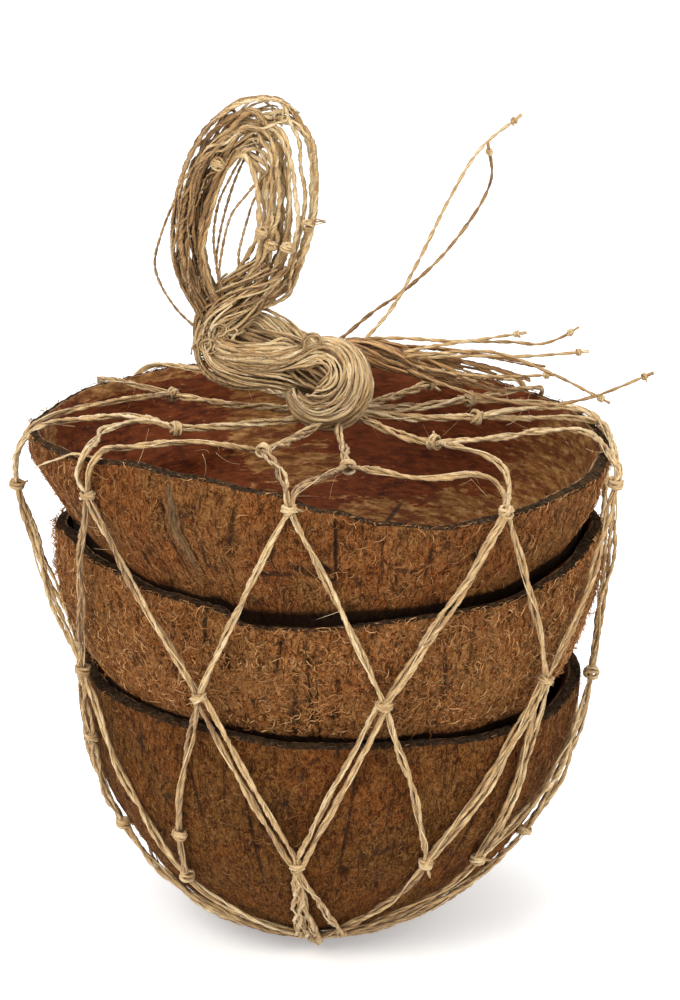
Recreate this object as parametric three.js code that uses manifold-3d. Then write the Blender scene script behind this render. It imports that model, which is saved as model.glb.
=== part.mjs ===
// Three half coconut shells nested in a stack and tied up in a knotted net of plant-fibre twine.
// Millimetres, +Z up, the front towards -Y. Azimuths are in degrees, 0 at the front and positive towards +X.
import * as THREE from 'three';
import { mergeVertices } from 'three/addons/utils/BufferGeometryUtils.js';
import Module from 'manifold-3d';

const wasm = await Module();
wasm.setup();

const clearance = 0.35; // air between pieces that touch in life
const huskClearance = 0.3; // air between the net and the husk
const cordClearance = 0.6; // the same aimed at by the net's cords, which run straight between their bends

// Facets of the shells
const columns = 42;
const outerRows = 9;
const innerRows = 6;
const lipDrop = 0.5; // how far the inner edge of a cut rim lies below its outer edge
const ridgeWaves = [[15, 0.6, 1], [8, 0.4, -1]]; // waves round a shell, share of the ridge height, sense of the offset

// The half shells, each a turned cup with three soft lobes, upright ridges and a wavy saw cut.
// widestZ is the level where its side stands upright, depth runs from there to the pole, and footZ is its lowest cut.
const bottomShell = {
  name: 'shell_bottom', color: 0x8a4f26, radius: 60.1, widestZ: 67, depth: 68.4, footZ: 0, fullness: 1.92,
  centreX: 0, lean: -3, lobe: 0.005, lobeAt: -40, ridge: 0.45, wall: 4.2, rimWall: 3,
  rim: [[-150, 66.8], [-110, 67.5], [-74, 68.2], [-58, 68.7], [-34, 68.1], [-6, 66.5], [12, 65.9], [38, 64.1], [55, 62.9],
    [72, 63.3], [100, 65.2], [140, 66.4], [180, 66]],
};
const middleShell = {
  name: 'shell_middle', color: 0x9a5a2c, radius: 64.4, widestZ: 99.5, depth: 63.5, footZ: 36.6, fullness: 2.12,
  centreX: 0.3, lean: 0, lobe: 0.008, lobeAt: -75, ridge: 0.65, wall: 4.2, rimWall: 2.7,
  rim: [[-160, 101.8], [-120, 100.6], [-86, 101.9], [-72, 103.6], [-53, 102.3], [-36, 100.3], [-24, 98.8], [-17, 95.9],
    [-5, 95.9], [15, 97.8], [38, 98.2], [65, 100.9], [80, 102.4], [120, 101], [165, 99.8]],
};
const topShell = {
  name: 'shell_top', color: 0x8f5128, radius: 69, widestZ: 121.8, depth: 63, footZ: 59.4, fullness: 1.6,
  centreX: -1, lean: 0, lobe: 0.009, lobeAt: -15, ridge: 0.55, wall: 4.2, rimWall: 3.3,
  rim: [[-150, 122.6], [-125, 122.8], [-104, 122.6], [-88, 125], [-74, 127], [-60, 128.2], [-48, 129.9], [-36, 131.8],
    [-22, 131.4], [-9, 129.4], [2, 125.2], [12, 121.8], [26, 119.2], [45, 119], [75, 119], [110, 120], [160, 121.5]],
};
const stack = [bottomShell, middleShell, topShell];

// Twine: two plies twisted together, single or doubled
const singleRadius = 0.72;
const doubleRadius = 1.05;
const singleSides = 4;
const doubleSides = 5;
const cordStep = 10;
const cordPoints = 8; // points that a cord drawn round the stack is led through
const rimStep = 5; // closer steps where a cord bends over the cut rim
const rimBend = { far: 7, near: 2, farLift: 0.8, nearLift: 0.4, outside: 0.9, outsideLift: 0.6, search: 0.01 };
const knotRadius = 2.1;
const knotStretch = 1.25;
const knotStandOff = 0.6; // share of a knot's radius by which its middle stands off the husk
const gatherKnot = 1.2; // the gathering knot against the others
const gatherHurry = 1.6; // above 1 a cord keeps its azimuth longer before it turns to the gather
const outlineSteps = 14; // levels read from each shell for the taut line round the stack

// Net knots, each row going round: [azimuth, distance from the axis] over the mouth, [azimuth, height, slack] below it
const mouthKnots = [[-66, 39], [-20, 43.5], [6, 40], [56, 29.5], [99, 35.5], [123, 40.5], [145, 42.5], [175, 41],
  [-151, 43], [-120, 44]];
const rimKnots = [[-50, 122.5, 0], [-7, 126, 0], [34, 119, 0], [76, 115.2, 0], [103, 114, 0], [132, 114.5, 0],
  [163, 115.5, 0], [-166, 115, 0], [-133, 115.5, 0], [-87, 111.5, 4.4]];
const beltKnots = [[-27, 77.5, 0], [11, 77.5, 0], [51, 75, 0], [83, 65, 0.8], [117, 72, 0], [149, 74, 0], [-178, 73, 0],
  [-146, 74, 0], [-101, 65, 0], [-64, 73.5, 0]];
const bowlKnots = [[-8, 34.5, 0], [25, 33, 0], [44, 29, 0], [68, 29, 0], [112, 32, 0], [152, 33, 0], [-168, 33, 0],
  [-120, 31, 0], [-76, 28.5, 0], [-43, 25, 0]];
const spliceKnots = [[-68.5, 54, 0], [-38, 39, 0]]; // joins in the twine along the way
const gather = { azimuth: -7, z: 5.5 }; // where the net's lower ends are drawn together, just in front of the foot
const crownFoot = { x: 1.5, y: 0, z: 127, radius: 6 }; // where the net's upper cords go into the knot
const mouthSlope = { from: 9, rise: 1.3 }; // the upper cords climb from this distance to this much above the rim

// Crown: the knot's wraps, the strands led into its eye, the upright hank and the loose ends
const wrapPath = [[-26.9, -2, 143.2], [-18.6, -5, 144.3], [-10.4, -7, 145.3], [-2.6, -6.5, 144.2], [3.8, -6, 141.1],
  [5.9, -5.5, 135.5], [4, -6, 130.3], [-0.7, -6.5, 128.7], [-5.4, -6, 131], [-6.8, -2, 133.9], [-4.5, 3, 135.7]];
const wrap = { strands: 7, radius: 4.8, groove: 0.78, twist: 0.5, step: 4.5 };
const eyePath = [[-27.6, 3, 144.8], [-30, 1.5, 141.7], [-28.6, -2, 138.3], [-23.8, -5.5, 137.2], [-17.3, -8.5, 138.4],
  [-10.2, -10.5, 140.6], [-4.4, -9.5, 141.9], [-1.2, -5, 139.1], [-0.7, 2, 134.6]];
const eye = { strands: 6, radius: 3.3, groove: 0.76, twist: 0.5, step: 5 };
const upperPath = [[-19.9, 4, 150.4], [-15.1, 3, 148.7], [-10.8, 2, 146], [-5.7, 1.5, 143], [0.2, -1, 140.6]];
const upper = { strands: 4, radius: 2.5, groove: 0.75, twist: 0.3, step: 6 };
const neckPath = [[-27.2, 0, 143.9], [-23.7, 0.5, 150.5], [-19.2, 0.5, 157.4], [-14.3, 0, 164.3], [-10.6, 0, 170.2]];
const neck = { strands: 6, radius: 5, groove: 0.78, twist: 0.4, step: 6 };
const hankPath = [[-27.2, 0, 145], [-23.7, 0.5, 150.5], [-19.2, 0.5, 157.4], [-14.3, 0, 164.3], [-10.5, 0, 169.4],
  [-9.1, 0, 177.2], [-9.3, 0, 184.9], [-11.4, 0.5, 192.8], [-15.5, 1, 197.5], [-20.5, 1, 197.5], [-25.4, 0.5, 194.2],
  [-29.2, 0, 187.7], [-31.4, 0, 179.5], [-32.9, 0, 170.1], [-33.2, 0, 163.6], [-31.7, 0, 157], [-29.5, 0, 150.2],
  [-28.1, 0, 146]];
const hank = {
  strands: 7, radius: 1.1, centre: [-21, 0, 176], inward: -4.8, outward: 5.2, depth: 5.5, step: 9.5,
  bound: [0.1, 0.7], // the strands open out between these heights of the half wave along the hank
  depthBound: 0.35, strandTurn: 2.4, alongTurn: 2,
};
const tailKnotRadius = 1.5;
const tailTrunk = [[1.2, -1.5, 141], [5, 2.5, 141], [9.5, 5.2, 140.2], [16, 6.5, 138.6], [23, 7.5, 136.6]];
const tailRope = { strands: 4, radius: 2.7, groove: 0.75, twist: 0.4, step: 5 };
const tails = [
  [[6, 5, 141.3], [14.2, 6, 150.3], [21.2, 7, 162.8], [28.3, 8, 177.3], [35.4, 9, 188.8], [44.9, 10, 196.6]],
  [[5, 4, 142], [9, 6, 149], [17, 8, 155], [30.8, 10, 167.8], [38, 12, 180.5], [37.2, 13, 189.6]],
  [[16, 6.5, 139], [29, 9, 139.6], [40, 10, 140.6], [51, 10, 142.2], [59.6, 10, 145.9]],
  [[15, 6.5, 139.6], [24, 7, 141.4], [34, 7.5, 142.8], [46.8, 8, 144.6]],
  [[16, 7, 138.6], [34, 11, 138], [48, 12.5, 137.6], [62, 13, 138.6]],
  [[16, 6, 139], [27, 3.5, 140.8], [38.5, 2, 141.4], [52, 2, 136.4], [66.5, 3, 128.6]],
  [[16, 6.5, 138], [30, 7.5, 134.6], [42, 8, 133.8], [54, 8, 134.2]],
  [[15, 6, 138], [24, 4.5, 134], [36, 3, 130.4], [50, 2, 128.4], [62, 2.5, 130.2], [76.8, 4, 135.8]],
];

const twineColor = 0xc9a873;

// A value listed at some azimuths, eased from each to the next all the way round
function valueRound(pairs, azimuth) {
  const start = pairs[0][0];
  const at = start + THREE.MathUtils.euclideanModulo(azimuth - start, 360);
  const found = pairs.findIndex(([listed]) => listed > at);
  const next = found < 0 ? pairs.length : found;
  const [fromAt, from] = pairs[next - 1];
  const [toAt, to] = next < pairs.length ? pairs[next] : [start + 360, pairs[0][1]];
  return THREE.MathUtils.lerp(from, to, THREE.MathUtils.smoothstep(at, fromAt, toAt));
}

// A closed geometry as a solid: seams welded, slivers at the poles dropped, faces turned outwards
function solidOf(geometry) {
  const bare = geometry.index ? geometry.clone() : geometry;
  bare.deleteAttribute('normal');
  bare.deleteAttribute('uv');
  const welded = mergeVertices(bare, 1e-4);
  const xyz = welded.attributes.position.array;
  const corner = (i) => new THREE.Vector3().fromArray(xyz, 3 * i);
  const triangles = [];
  let volume = 0;
  for (let i = 0; i < welded.index.count; i += 3) {
    const [a, b, c] = welded.index.array.slice(i, i + 3);
    if (a !== b && b !== c && c !== a) {
      triangles.push([a, b, c]);
      volume += corner(a).dot(corner(b).cross(corner(c)));
    }
  }
  const faces = volume > 0 ? triangles : triangles.map(([a, b, c]) => [a, c, b]);
  const mesh = new wasm.Mesh({ numProp: 3, vertProperties: new Float32Array(xyz), triVerts: new Uint32Array(faces.flat()) });
  return new wasm.Manifold(mesh);
}

// The triangles of a solid's largest skin: scraps that a cut leaves are dropped, and hollows that fusing seals are filled
function largestSkin(triangles, vertexCount) {
  const parent = Array.from({ length: vertexCount }, (_, i) => i);
  const root = (i) => {
    while (parent[i] !== i) i = parent[i] = parent[parent[i]];
    return i;
  };
  for (let i = 0; i < triangles.length; i += 3) {
    parent[root(triangles[i])] = root(triangles[i + 1]);
    parent[root(triangles[i + 1])] = root(triangles[i + 2]);
  }
  const sizes = new Map();
  for (let i = 0; i < triangles.length; i += 3) sizes.set(root(triangles[i]), (sizes.get(root(triangles[i])) ?? 0) + 1);
  const [largest] = [...sizes].reduce((best, entry) => (entry[1] > best[1] ? entry : best));
  return triangles.filter((_, i) => root(triangles[i - i % 3]) === largest);
}

function namedMesh(name, solid, color, roughness) {
  const { vertProperties, triVerts } = solid.getMesh();
  const geometry = new THREE.BufferGeometry();
  geometry.setAttribute('position', new THREE.BufferAttribute(new Float32Array(vertProperties), 3));
  geometry.setIndex([...largestSkin(triVerts, vertProperties.length / 3)]);
  geometry.computeVertexNormals();
  const mesh = new THREE.Mesh(geometry, new THREE.MeshStandardMaterial({ color, roughness, metalness: 0 }));
  mesh.name = name;
  return mesh;
}

// Shells
function drop(shell, z) {
  return Math.max(0, shell.widestZ - z) / shell.depth;
}

function lobes(shell, azimuth) {
  return 1 + shell.lobe * Math.cos(3 * THREE.MathUtils.degToRad(azimuth - shell.lobeAt));
}

// Upright fibre ridges on the husk side, dying out towards the pole
function ridges(shell, azimuth, share) {
  const angle = THREE.MathUtils.degToRad(azimuth);
  const wave = ridgeWaves.reduce((sum, [waves, part, sense]) => sum + part * Math.sin(waves * angle + sense * shell.widestZ), 0);
  return shell.ridge * share * wave;
}

function outerRadius(shell, z, azimuth) {
  const share = Math.sqrt(Math.max(0, 1 - drop(shell, z) ** shell.fullness));
  return shell.radius * share * lobes(shell, azimuth) + ridges(shell, azimuth, share);
}

function innerRadius(shell, z, azimuth) {
  const inside = drop(shell, z) * shell.depth / (shell.depth - shell.wall);
  return (shell.radius - shell.wall) * Math.sqrt(Math.max(0, 1 - inside ** shell.fullness)) * lobes(shell, azimuth);
}

function outerRowsAt(shell, azimuth, grow) {
  const rimZ = valueRound(shell.rim, azimuth);
  const rows = [[0, shell.footZ - grow]];
  for (let i = 0; i <= outerRows; i++) {
    const z = shell.footZ + (rimZ - shell.footZ) * (1 - Math.cos(Math.PI / 2 * i / outerRows));
    rows.push([outerRadius(shell, z, azimuth) + grow, i < outerRows ? z - grow * drop(shell, z) : z + grow]);
  }
  return rows;
}

function cupSection(shell, azimuth, grow) {
  const rimZ = valueRound(shell.rim, azimuth);
  const lipZ = rimZ - lipDrop;
  const floorZ = shell.footZ + shell.wall;
  const rows = outerRowsAt(shell, azimuth, grow);
  rows.push([outerRadius(shell, rimZ, azimuth) - shell.rimWall - grow, lipZ + grow]);
  for (let i = 1; i <= innerRows; i++) {
    const z = floorZ + (lipZ - floorZ) * Math.cos(Math.PI / 2 * i / innerRows);
    rows.push([innerRadius(shell, z, azimuth) - grow, z]);
  }
  rows.push([0, floorZ]);
  return rows;
}

function plugSection(shell, azimuth, grow) {
  return [...outerRowsAt(shell, azimuth, grow), [0, shell.widestZ]];
}

// A lathe whose profile may change from one azimuth to the next, about the shell's own leaning axis
function turned(shell, section, grow) {
  const rowCount = section(shell, 0, grow).length;
  const blank = new THREE.LatheGeometry(Array.from({ length: rowCount }, (_, i) => new THREE.Vector2(1, i)), columns);
  const position = blank.attributes.position;
  for (let column = 0; column <= columns; column++) {
    const azimuth = 360 * (column % columns) / columns;
    const angle = THREE.MathUtils.degToRad(azimuth);
    section(shell, azimuth, grow).forEach(([r, z], row) => {
      const axisX = shell.centreX + shell.lean * drop(shell, z) ** 2;
      position.setXYZ(column * rowCount + row, axisX + r * Math.sin(angle), -r * Math.cos(angle), z);
    });
  }
  return solidOf(blank);
}

// The taut line round the whole stack at an azimuth, from the foot's edge up to the top rim: [distance, height, length so far]
const outlines = new Map();
function outlineAt(azimuth) {
  const key = azimuth.toFixed(2);
  if (outlines.has(key)) return outlines.get(key);
  const angle = THREE.MathUtils.degToRad(azimuth);
  const points = [];
  for (const shell of stack) {
    const rimZ = valueRound(shell.rim, azimuth);
    for (let i = 0; i <= outlineSteps; i++) {
      const z = shell.footZ + (rimZ - shell.footZ) * (1 - Math.cos(Math.PI / 2 * i / outlineSteps));
      const axisX = shell.centreX + shell.lean * drop(shell, z) ** 2;
      const smooth = outerRadius({ ...shell, ridge: 0 }, z, azimuth);
      points.push([smooth + axisX * Math.sin(angle) + shell.ridge * smooth / shell.radius, z]);
    }
  }
  points.sort((a, b) => a[1] - b[1] || a[0] - b[0]);
  const line = [];
  for (const point of points) {
    while (line.length > 1) {
      const [[r0, z0], [r1, z1]] = line.slice(-2);
      if ((z1 - z0) * (point[0] - r1) - (r1 - r0) * (point[1] - z1) < 0) break;
      line.pop();
    }
    line.push(point);
  }
  let length = 0;
  line.forEach((point, i) => {
    if (i > 0) length += Math.hypot(point[0] - line[i - 1][0], point[1] - line[i - 1][1]);
    point[2] = length;
  });
  outlines.set(key, line);
  return line;
}

function alongOutline(azimuth, value, by, lift) {
  const line = outlineAt(azimuth);
  const found = line.findIndex((point) => point[by] > value);
  const next = found < 0 ? line.length - 1 : Math.max(1, found);
  const [a, b] = [line[next - 1], line[next]];
  const t = (value - a[by]) / (b[by] - a[by]);
  const length = Math.hypot(b[0] - a[0], b[1] - a[1]);
  const angle = THREE.MathUtils.degToRad(azimuth);
  const r = THREE.MathUtils.lerp(a[0], b[0], t) + lift * (b[1] - a[1]) / length;
  const z = THREE.MathUtils.lerp(a[1], b[1], t) - lift * (b[0] - a[0]) / length;
  return { at: new THREE.Vector3(r * Math.sin(angle), -r * Math.cos(angle), z), run: THREE.MathUtils.lerp(a[2], b[2], t) };
}

const byHeight = 1;
const byLength = 2;

function onStack([azimuth, z, slack], radius) {
  return alongOutline(azimuth, z, byHeight, radius + cordClearance + slack).at;
}

// A cord drawn round the stack from one knot to another, at an even climb
function drawnRound(from, to, radius, hurry = 1) {
  const turn = THREE.MathUtils.euclideanModulo(to[0] - from[0] + 180, 360) - 180;
  const startRun = alongOutline(from[0], from[1], byHeight, 0).run;
  const endRun = alongOutline(to[0], to[1], byHeight, 0).run;
  const points = [];
  for (let i = 0; i <= cordPoints; i++) {
    const t = i / cordPoints;
    const lift = radius + cordClearance + THREE.MathUtils.lerp(from[2], to[2], t);
    const azimuth = from[0] + turn * t ** hurry;
    points.push(alongOutline(azimuth, THREE.MathUtils.lerp(startRun, endRun, t), byLength, lift).at);
  }
  return points;
}

// Cords
function tube(points, radius, step = cordStep) {
  const sides = radius < doubleRadius ? singleSides : doubleSides;
  const path = new THREE.CatmullRomCurve3(points, false, 'centripetal');
  const outline = new THREE.Shape();
  for (let i = 0; i < sides; i++) {
    const angle = 2 * Math.PI * i / sides;
    outline[i ? 'lineTo' : 'moveTo'](radius * Math.cos(angle), radius * Math.sin(angle));
  }
  const steps = Math.max(2, Math.round(path.getLength() / step));
  return solidOf(new THREE.ExtrudeGeometry(outline, { steps, extrudePath: path, bevelEnabled: false }));
}

function lump(centre, radius, stretch = knotStretch) {
  const ball = new THREE.IcosahedronGeometry(radius, 0);
  ball.scale(1, 1, stretch);
  ball.translate(centre.x, centre.y, centre.z);
  return solidOf(ball);
}

function vectors(list) {
  return list.map((point) => new THREE.Vector3(...point));
}

function fused(solids) {
  return solids.reduce((sum, solid) => sum.add(solid));
}

// A rope of strands laid side by side along a path: a grooved bar, turned as it goes and bent to the path
function rope(path, { strands, radius, groove, twist, step }, grow = 0) {
  const middle = new THREE.CatmullRomCurve3(vectors(path), false, 'centripetal');
  const steps = Math.round(middle.getLength() / step);
  const frames = middle.computeFrenetFrames(steps, false);
  const outline = new THREE.Shape();
  for (let i = 0; i < 2 * strands; i++) {
    const r = (i % 2 ? groove : 1) * radius + grow;
    const angle = Math.PI * i / strands;
    outline[i ? 'lineTo' : 'moveTo'](r * Math.cos(angle), r * Math.sin(angle));
  }
  const bar = new THREE.ExtrudeGeometry(outline, { steps, depth: steps, bevelEnabled: false });
  const position = bar.attributes.position;
  for (let i = 0; i < position.count; i++) {
    const station = Math.round(position.getZ(i));
    const turn = 2 * Math.PI * twist * station / steps;
    const [x, y] = [position.getX(i), position.getY(i)];
    const at = middle.getPointAt(station / steps);
    at.addScaledVector(frames.normals[station], x * Math.cos(turn) - y * Math.sin(turn));
    at.addScaledVector(frames.binormals[station], x * Math.sin(turn) + y * Math.cos(turn));
    position.setXYZ(i, at.x, at.y, at.z);
  }
  return solidOf(bar);
}

// Net
function mouthPoint([azimuth, r]) {
  const rimZ = valueRound(topShell.rim, azimuth) + mouthSlope.rise;
  const share = (r - mouthSlope.from) / (topShell.radius - mouthSlope.from);
  const angle = THREE.MathUtils.degToRad(azimuth);
  return new THREE.Vector3(r * Math.sin(angle), -r * Math.cos(angle), THREE.MathUtils.lerp(crownFoot.z, rimZ, share));
}

// A cord from a knot over the mouth across the cut rim to a knot outside it
function overRim(inner, outer, radius) {
  const from = mouthPoint(inner);
  const to = onStack(outer, radius);
  const lift = radius + cordClearance;
  const crossing = (distance) => {
    let t = 1;
    const between = from.clone();
    do {
      between.lerpVectors(from, to, t);
      t -= rimBend.search;
    } while (t > 0 && Math.hypot(between.x, between.y) > distance);
    return THREE.MathUtils.radToDeg(Math.atan2(between.x, -between.y));
  };
  const at = (distance, rise) => {
    const azimuth = crossing(Math.min(distance, topShell.radius));
    const angle = THREE.MathUtils.degToRad(azimuth);
    const r = distance + topShell.centreX * Math.sin(angle);
    return new THREE.Vector3(r * Math.sin(angle), -r * Math.cos(angle), valueRound(topShell.rim, azimuth) + rise);
  };
  const edge = topShell.radius + topShell.ridge;
  return [from, at(edge - rimBend.far, lift + rimBend.farLift), at(edge - rimBend.near, lift + rimBend.nearLift),
    at(edge + rimBend.outside * lift, rimBend.outsideLift * lift), to];
}

function netSolid() {
  const cords = [];
  const count = mouthKnots.length;
  for (let i = 0; i < count; i++) {
    const next = (i + 1) % count;
    const mouth = mouthPoint(mouthKnots[i]);
    const foot = new THREE.Vector3(crownFoot.x, crownFoot.y, crownFoot.z);
    const root = mouth.clone().setZ(crownFoot.z).sub(foot).setLength(crownFoot.radius).add(foot);
    cords.push(tube([root, mouth], doubleRadius, 2 * cordStep));
    cords.push(tube(overRim(mouthKnots[i], rimKnots[i], singleRadius), singleRadius, rimStep));
    cords.push(tube(overRim(mouthKnots[next], rimKnots[i], singleRadius), singleRadius, rimStep));
    cords.push(tube(drawnRound(rimKnots[i], beltKnots[i], singleRadius), singleRadius));
    cords.push(tube(drawnRound(rimKnots[next], beltKnots[i], singleRadius), singleRadius));
    cords.push(tube(drawnRound(beltKnots[i], bowlKnots[i], singleRadius), singleRadius));
    cords.push(tube(drawnRound(beltKnots[i], bowlKnots.at(i - 1), singleRadius), singleRadius));
    cords.push(tube(drawnRound(bowlKnots[i], [gather.azimuth, gather.z, 0], doubleRadius, gatherHurry), doubleRadius));
    cords.push(lump(mouth, knotRadius));
    for (const row of [rimKnots, beltKnots, bowlKnots]) {
      cords.push(lump(onStack(row[i], knotRadius * knotStandOff), knotRadius));
    }
  }
  for (const knot of spliceKnots) cords.push(lump(onStack(knot, singleRadius), knotRadius));
  cords.push(lump(onStack([gather.azimuth, gather.z, 0], doubleRadius), knotRadius * gatherKnot, 1));
  return fused(cords);
}

// Crown
function knotSolid(grow) {
  return fused([rope(wrapPath, wrap, grow), rope(eyePath, eye, grow), rope(upperPath, upper, grow)]);
}

function hankSolid() {
  const centre = new THREE.Vector3(...hank.centre);
  const laid = [rope(neckPath, neck)];
  for (let k = 0; k < hank.strands; k++) {
    const outward = THREE.MathUtils.lerp(hank.inward, hank.outward, (k * 3 % hank.strands) / (hank.strands - 1));
    const points = hankPath.map((point, i) => {
      const along = i / (hankPath.length - 1);
      const open = THREE.MathUtils.smoothstep(Math.sin(Math.PI * along), ...hank.bound);
      const at = new THREE.Vector3(...point);
      const away = at.clone().sub(centre).setY(0).normalize();
      at.addScaledVector(away, outward * open);
      const spread = THREE.MathUtils.lerp(hank.depthBound, 1, open);
      at.y += hank.depth * spread * Math.cos(hank.strandTurn * k + hank.alongTurn * along);
      return at;
    });
    laid.push(tube(points, hank.radius, hank.step));
  }
  return fused(laid);
}

function tailsSolid() {
  const laid = [rope(tailTrunk, tailRope)];
  for (const tail of tails) {
    const points = vectors(tail);
    laid.push(tube(points, singleRadius));
    laid.push(lump(points.at(-1), tailKnotRadius, 1));
  }
  return fused(laid);
}

const plugs = { middle: turned(middleShell, plugSection, clearance), top: turned(topShell, plugSection, clearance) };
const cups = {
  bottom: turned(bottomShell, cupSection, 0).subtract(plugs.middle),
  middle: turned(middleShell, cupSection, 0).subtract(plugs.top),
  top: turned(topShell, cupSection, 0),
};
const grownKnot = knotSolid(clearance);
const grownStack = fused(stack.map((shell) => turned(shell, cupSection, huskClearance)));

const group = new THREE.Group();
group.name = 'netted_half_shells';
group.add(
  namedMesh(bottomShell.name, cups.bottom, bottomShell.color, 0.95),
  namedMesh(middleShell.name, cups.middle, middleShell.color, 0.95),
  namedMesh(topShell.name, cups.top, topShell.color, 0.95),
  namedMesh('net', netSolid().subtract(grownKnot).subtract(grownStack), twineColor, 0.85),
  namedMesh('top_knot', knotSolid(0), twineColor, 0.85),
  namedMesh('carry_loop', hankSolid().subtract(grownKnot), twineColor, 0.85),
  namedMesh('loose_ends', tailsSolid().subtract(grownKnot), twineColor, 0.85),
);
export default group;
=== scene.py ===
import math
import random

import bpy
import numpy as np
from mathutils import Matrix, Vector, noise


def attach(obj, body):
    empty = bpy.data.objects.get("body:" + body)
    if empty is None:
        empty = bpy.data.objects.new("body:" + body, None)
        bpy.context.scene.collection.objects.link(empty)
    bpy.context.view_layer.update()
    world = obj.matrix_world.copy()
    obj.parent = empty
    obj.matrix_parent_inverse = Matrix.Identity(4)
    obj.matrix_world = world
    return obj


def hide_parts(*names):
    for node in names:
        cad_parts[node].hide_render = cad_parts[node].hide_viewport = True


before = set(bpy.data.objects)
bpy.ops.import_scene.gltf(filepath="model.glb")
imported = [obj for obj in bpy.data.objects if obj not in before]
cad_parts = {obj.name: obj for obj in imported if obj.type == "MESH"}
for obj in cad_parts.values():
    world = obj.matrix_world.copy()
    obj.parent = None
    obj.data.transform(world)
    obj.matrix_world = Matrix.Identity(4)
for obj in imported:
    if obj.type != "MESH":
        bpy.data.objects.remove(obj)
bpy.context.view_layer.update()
bpy.ops.object.select_all(action='DESELECT')
mm = 0.001  # everything below is measured in millimetres, like the net and the shells themselves


# Camera, a little above the rims and square to the front
cameraSet = {"place": (0, -0.8022, 0.3607), "pitch": 72.354, "yaw": -0.178, "lens": 127.19}
bpy.ops.object.camera_add(
    location=cameraSet["place"],
    rotation=(math.radians(cameraSet["pitch"]), 0, math.radians(cameraSet["yaw"])))
camera = bpy.context.object
camera.name = "camera"
camera.data.lens = cameraSet["lens"]
camera.data.clip_start = 0.01
bpy.context.scene.camera = camera
print("camera set")


# Numbers listed at some azimuths, eased from each to the next all the way round
def valueRound(pairs, azimuth):
    ats = np.array([at for at, value in pairs] + [pairs[0][0] + 360.0])
    values = np.array([value for at, value in pairs] + [pairs[0][1]])
    at = ats[0] + np.mod(np.asarray(azimuth, float) - ats[0], 360)
    i = np.clip(np.searchsorted(ats, at, side='right') - 1, 0, len(pairs) - 1)
    t = (at - ats[i]) / (ats[i + 1] - ats[i])
    return values[i] + (values[i + 1] - values[i]) * t * t * (3 - 2 * t)


def smoothStep(value, low, high):
    t = np.clip((value - low) / (high - low), 0, 1)
    return t * t * (3 - 2 * t)


# The half shells: same cups as the solids, so that everything rests where it should
bottomShell = {
    "name": "shell_bottom", "radius": 60.1, "widestZ": 67, "depth": 68.4, "footZ": 0, "fullness": 1.92,
    "centreX": 0, "lean": -3, "lobe": 0.005, "lobeAt": -40, "ridge": 0.45, "wall": 4.2, "rimWall": [[0, 3]],
    "rim": [[-150, 66.8], [-110, 67.5], [-74, 68.2], [-58, 68.7], [-34, 68.1], [-6, 66.5], [12, 65.9],
            [38, 64.1], [55, 62.9], [72, 63.3], [100, 65.2], [140, 66.4], [180, 66]],
    "shownFrom": 1, "seed": 11, "rough": 0.75}
middleShell = {
    "name": "shell_middle", "radius": 64.4, "widestZ": 99.5, "depth": 63.5, "footZ": 36.6, "fullness": 2.12,
    "centreX": 0.3, "lean": 0, "lobe": 0.008, "lobeAt": -75, "ridge": 0.65, "wall": 4.2,
    "rimWall": [[-60, 2.7], [-28, 2.7], [-14, 1.5], [30, 1.6], [60, 2.7], [180, 2.2]],
    "rim": [[-160, 101.8], [-120, 100.6], [-86, 101.9], [-72, 103.6], [-53, 102.3], [-36, 100.3],
            [-24, 98.8], [-17, 95.9], [-5, 95.9], [15, 97.8], [38, 98.2], [65, 100.9], [80, 102.4],
            [120, 101], [165, 99.8]],
    "shownFrom": 59, "seed": 23, "rough": 1.0,
    "gapAndPaintedShade": [[-90, 2.4], [-66, 1.6], [-40, 1.0], [0, 1.1], [40, 1.2], [58, 3.2], [90, 4], [150, 2]]}
topShell = {
    "name": "shell_top", "radius": 69, "widestZ": 121.8, "depth": 63, "footZ": 59.4, "fullness": 1.6,
    "centreX": -2.6, "lean": 1.6, "lobe": 0.009, "lobeAt": -15, "ridge": 0.55, "wall": 4.2,
    "rimWall": [[-130, 1.7], [-80, 2.2], [-50, 3.3], [-28, 2.3], [-12, 1.7], [18, 1.9], [40, 2.8],
                [70, 3.6], [100, 2.6], [150, 1.7]],
    "rim": [[-150, 122.6], [-125, 122.8], [-104, 122.6], [-88, 125], [-74, 127], [-60, 128.2],
            [-48, 129.9], [-36, 131.8], [-22, 131.4], [-9, 129.4], [2, 125.2], [12, 121.8], [26, 119.2],
            [45, 119], [75, 119], [110, 120], [160, 121.5]],
    "shownFrom": 91, "seed": 37, "rough": 0.9,
    "gapAndPaintedShade": [[-90, 3], [-66, 3.4], [-48, 1.6], [-28, 1.6], [-18, 4.6], [2, 4.4], [20, 2.2], [42, 1.8],
            [60, 3.6], [90, 3], [150, 2]]}
stack = [bottomShell, middleShell, topShell]
shellMesh = {
    "columns": 560, "hiddenRows": 8, "shownRows": 52, "rimRows": 6, "innerRows": 8, "bevel": 0.9,
    "lipDrop": 0.4, "crispEdge": 1.6, "wornFoot": 8, "nestRoom": 2.7,
    "leastWall": 1.6, "leastHiddenWall": 0.9}


def dropOf(shell, z):
    return np.maximum(0, shell["widestZ"] - z) / shell["depth"]


def lobesOf(shell, azimuth):
    return 1 + shell["lobe"] * np.cos(3 * np.radians(azimuth - shell["lobeAt"]))


def bowlShare(shell, drop):
    return np.sqrt(np.maximum(0, 1 - drop ** shell["fullness"]))


def smoothRadius(shell, z, azimuth):
    return shell["radius"] * bowlShare(shell, dropOf(shell, z)) * lobesOf(shell, azimuth)


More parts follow.
